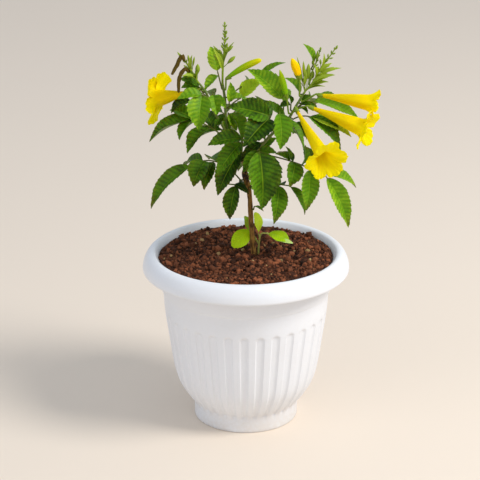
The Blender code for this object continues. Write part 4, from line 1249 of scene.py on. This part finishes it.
class SoilSettings(bpy.types.PropertyGroup):
    soil_dark: colour("Dark soil", 12, 6, 4, "Colour of the darkest crumbs")
    soil_light: colour("Light soil", 160, 95, 62, "Colour of the lightest crumbs")
    crumbs: bpy.props.IntProperty(
        name="Crumbs", description="How many loose crumbs lie on the soil", default=3600, min=0, max=3900
    )


class LeafSettings(bpy.types.PropertyGroup):
    dark: colour("Dark leaf", 20, 48, 0, "Green of the darkest leaflets")
    light: colour("Light leaf", 92, 140, 14, "Green of the lighter leaflets")
    young: colour("Young leaf", 186, 218, 40, "Green of the youngest leaflets")
    below: colour("Underside", 120, 150, 78, "Green of the leaflets' undersides")
    brown: colour("Scorch", 116, 70, 36, "Brown of dry leaflet tips")
    lime: colour("Seedling", 188, 222, 14, "Green of the seedling's leaves")


class FlowerSettings(bpy.types.PropertyGroup):
    petal_deep: colour("Deep yellow", 255, 200, 0, "Yellow of the tube and the folds")
    petal_bright: colour("Bright yellow", 255, 222, 0, "Yellow of the lobes' edges")


class StageSettings(bpy.types.PropertyGroup):
    floor: colour("Floor", 236, 222, 206, "Colour of the plain floor")
    floor_size: bpy.props.FloatProperty(
        name="Floor size", description="Side of the square floor", default=16.0, min=2.0, unit="LENGTH"
    )
    key: bpy.props.FloatProperty(
        name="Key light", description="Power of the light from the right", default=44.0, min=0.0, unit="POWER"
    )
    fill: bpy.props.FloatProperty(
        name="Fill light", description="Power of the light from the left", default=6.0, min=0.0, unit="POWER"
    )
    sky: bpy.props.FloatProperty(
        name="Sky", description="Strength of the soft light from all round", default=0.66, min=0.0
    )


# ---------------------------------------------------------------- operators

LIME_SHADE = (0.5, 0.62, 0.8)  # of the seedling's colour, in the shade
LIGHTS_AIM = (0.0, 0.0, 0.2)
CAMERA_PLACE, CAMERA_PITCH = (-0.0058, -1.8068, 0.8625), math.radians(69.36)


def bud_finish():
    """The green of buds and calyxes, built the first time."""
    made = bpy.data.materials.get("bud_skin")
    return made or plant_material("bud_skin", srgb(74, 110, 8), srgb(158, 178, 24))


def petal_finish(look):
    return bpy.data.materials.get("petal_skin") or petal_material(look)


class TECOMA_OT_pot(bpy.types.Operator):
    """Build the white ribbed pot: one turned surface with flutes sunk in its outside"""

    bl_idname = "tecoma.pot"
    bl_label = "Pot"

    def execute(self, context):
        look = context.scene.tecoma_pot
        shell = patch(pot_grid(look.columns))
        make_piece("fluted_pot", [shell], plastic_material(look), ["pot"], 32)
        return {"FINISHED"}


class TECOMA_OT_soil(bpy.types.Operator):
    """Build the soil: a lumpy body under loose crumbs"""

    bl_idname = "tecoma.soil"
    bl_label = "Soil"

    def execute(self, context):
        look = context.scene.tecoma_soil
        finish = soil_material(look)
        make_piece("soil_body", soil_patches(), finish, ["soil"])
        make_piece("soil_crumbs", crumb_patches(look.crumbs), finish, (), 70)
        return {"FINISHED"}


class TECOMA_OT_stems(bpy.types.Operator):
    """Build the woody trunk and its green shoots as tubes along their paths"""

    bl_idname = "tecoma.stems"
    bl_label = "Stems"

    def execute(self, context):
        paths = stem_paths()
        trunk = paths["trunk"]
        bark = tube(trunk[:, :3], trunk[:, 3], 20, wobble=0.07, seed=2)
        make_piece("woody_trunk", [bark], bark_material(), ["trunk"])
        finish = plant_material("shoot_skin", srgb(98, 118, 40), srgb(126, 108, 52))
        for name in BRANCHES:
            shoot = tube(paths[name][:, :3], paths[name][:, 3], 14, wobble=0.05, seed=3)
            shoot["paint"][..., 0] = 1 - smoothstep(*WOODY_HEIGHTS, shoot["grid"][..., 2])
            make_piece(f"{name}_shoot", [shoot], finish, [name])
        return {"FINISHED"}


class TECOMA_OT_leaves(bpy.types.Operator):
    """Build each compound leaf: a stalk with toothed leaflets folded along their midribs"""

    bl_idname = "tecoma.leaves"
    bl_label = "Leaves"

    def execute(self, context):
        paths = stem_paths()
        look = context.scene.tecoma_leaves
        greens = (opaque(tint) for tint in (look.dark, look.light, look.young, look.below))
        finish = leaf_material("leaf_green_blade", *greens, srgb(96, 104, 34), opaque(look.brown))
        for name in (*LEAVES, *SPRIGS):
            stands_for = [name] if name in LEAVES else ()
            make_piece(f"{name}_blades", leaf_patches(name, paths), finish, stands_for)
        return {"FINISHED"}


class TECOMA_OT_seedling(bpy.types.Operator):
    """Build the small light shoot at the foot of the trunk"""

    bl_idname = "tecoma.seedling"
    bl_label = "Seedling"

    def execute(self, context):
        look = context.scene.tecoma_leaves
        lime = np.array(look.lime)
        greens = (opaque(tint) for tint in (lime * LIME_SHADE, lime, np.minimum(lime * 1.5 + 0.03, 1)))
        others = (srgb(192, 216, 134), srgb(186, 190, 96), opaque(look.brown))
        finish = leaf_material("seedling_blade", *greens, *others)
        make_piece("seedling_shoot", seedling_patches(), finish, ["seedling"])
        return {"FINISHED"}


class TECOMA_OT_racemes(bpy.types.Operator):
    """Build the flower stalks and their pairs of small green buds"""

    bl_idname = "tecoma.racemes"
    bl_label = "Racemes"

    def execute(self, context):
        paths = stem_paths()
        for name in RACEMES:
            make_piece(f"{name}_stalk", raceme_patches(name, paths[name]), bud_finish(), [name])
        return {"FINISHED"}


class TECOMA_OT_buds(bpy.types.Operator):
    """Build the big closed buds and the dry pods"""

    bl_idname = "tecoma.buds"
    bl_label = "Buds and pods"

    def execute(self, context):
        paths = stem_paths()
        look = context.scene.tecoma_flowers
        brown = plant_material("pod_skin", srgb(60, 44, 10), srgb(108, 90, 28), 0.75, Specular_IOR_Level=0.1)
        for name in BUDS:
            stalk, body, sepals = bud_patches(name, paths)
            make_piece(f"{name}_petals", [body], petal_finish(look))
            make_piece(f"{name}_calyx", [stalk, sepals], bud_finish(), [name])
        for name in PODS:
            make_piece(f"{name}_shell", pod_patches(name, paths), brown, [name])
        return {"FINISHED"}


class TECOMA_OT_flowers(bpy.types.Operator):
    """Build the open trumpet flowers and the green cups that hold them"""

    bl_idname = "tecoma.flowers"
    bl_label = "Flowers"

    def execute(self, context):
        paths = stem_paths()
        look = context.scene.tecoma_flowers
        for name, (stem, height, *shape) in FLOWERS.items():
            petals = [corolla(*shape), *stamen_patches(*shape[:3])]
            make_piece(f"{name}_corolla", petals, petal_finish(look), [name], 75)
            calyx = name.replace("flower", "calyx")
            green = calyx_patches(paths[stem], height, *shape[:3])
            make_piece(f"{calyx}_cup", green, bud_finish(), [calyx])
        return {"FINISHED"}


def area_light(name, place, size, power, tint):
    """A round soft light that points at the plant."""
    light = bpy.data.lights.new(name, "AREA")
    light.shape, light.size, light.energy, light.color = "DISK", size, power, tint
    obj = bpy.data.objects.new(name, light)
    obj.location = place
    x, y, z = np.array(place) - LIGHTS_AIM
    obj.rotation_euler = (math.atan2(math.hypot(x, y), z), 0.0, math.atan2(y, x) + math.pi / 2)
    bpy.context.scene.collection.objects.link(obj)


class TECOMA_OT_stage(bpy.types.Operator):
    """Lay the plain floor and set the soft lights and the camera"""

    bl_idname = "tecoma.stage"
    bl_label = "Stage"

    def execute(self, context):
        scene = context.scene
        look = scene.tecoma_stage
        half = look.floor_size / 2
        mesh = bpy.data.meshes.new("floor")
        corners = [(-half, -half, 0), (half, -half, 0), (half, half, 0), (-half, half, 0)]
        mesh.from_pydata(corners, [], [(0, 1, 2, 3)])
        tree, shader, material = new_material("floor_plain", 0.9, Specular_IOR_Level=0.2)
        pale = np.array(look.floor)
        tree.put(shader["Base Color"], tree.blend(tree.noise(3.0, 3.0), opaque(pale * 0.985), opaque(pale)))
        mesh.materials.append(material)
        floor = bpy.data.objects.new("floor", mesh)
        scene.collection.objects.link(floor)

        area_light("key_light", (1.6, -0.7, 1.9), 1.0, look.key, (1.0, 0.98, 0.94))
        area_light("fill_light", (-1.8, -1.4, 1.0), 1.8, look.fill, (0.93, 0.96, 1.0))
        world = bpy.data.worlds.new("studio")
        world.use_nodes = True
        sky = world.node_tree.nodes["Background"].inputs
        sky["Color"].default_value = (0.84, 0.905, 1.0, 1.0)
        sky["Strength"].default_value = look.sky
        scene.world = world
        scene.view_settings.view_transform = "Standard"

        camera = bpy.data.cameras.new("camera")
        camera.lens, camera.sensor_width, camera.clip_end = 150.0, 36.0, 100.0
        obj = bpy.data.objects.new("camera", camera)
        obj.location = CAMERA_PLACE
        obj.rotation_euler = (CAMERA_PITCH, 0.0, 0.0)
        scene.collection.objects.link(obj)
        scene.camera = obj
        return {"FINISHED"}


OPERATORS = (
    TECOMA_OT_pot, TECOMA_OT_soil, TECOMA_OT_stems, TECOMA_OT_leaves, TECOMA_OT_seedling, TECOMA_OT_racemes,
    TECOMA_OT_buds, TECOMA_OT_flowers, TECOMA_OT_stage,
)
SETTINGS = {
    "tecoma_pot": PotSettings, "tecoma_soil": SoilSettings, "tecoma_leaves": LeafSettings,
    "tecoma_flowers": FlowerSettings, "tecoma_stage": StageSettings,
}


class TECOMA_PT_panel(bpy.types.Panel):
    """Lists the settings and the pieces in the order in which they are built"""

    bl_idname = "TECOMA_PT_panel"
    bl_label = "Potted tecoma"
    bl_space_type = "VIEW_3D"
    bl_region_type = "UI"
    bl_category = "Tecoma"

    def draw(self, context):
        for label in SETTINGS:
            group = getattr(context.scene, label)
            for setting in group.bl_rna.properties:
                if setting.identifier not in ("rna_type", "name"):
                    self.layout.prop(group, setting.identifier)
        for operator in OPERATORS:
            self.layout.operator(operator.bl_idname)


def register():
    for item in (*SETTINGS.values(), *OPERATORS, TECOMA_PT_panel):
        bpy.utils.register_class(item)
    for label, group in SETTINGS.items():
        setattr(bpy.types.Scene, label, bpy.props.PointerProperty(type=group))


def unregister():
    for label in SETTINGS:
        delattr(bpy.types.Scene, label)
    for item in reversed((*SETTINGS.values(), *OPERATORS, TECOMA_PT_panel)):
        bpy.utils.unregister_class(item)


def main():
    register()
    for operator in OPERATORS:
        group, name = operator.bl_idname.split(".")
        getattr(getattr(bpy.ops, group), name)()


if __name__ == "__main__":
    main()
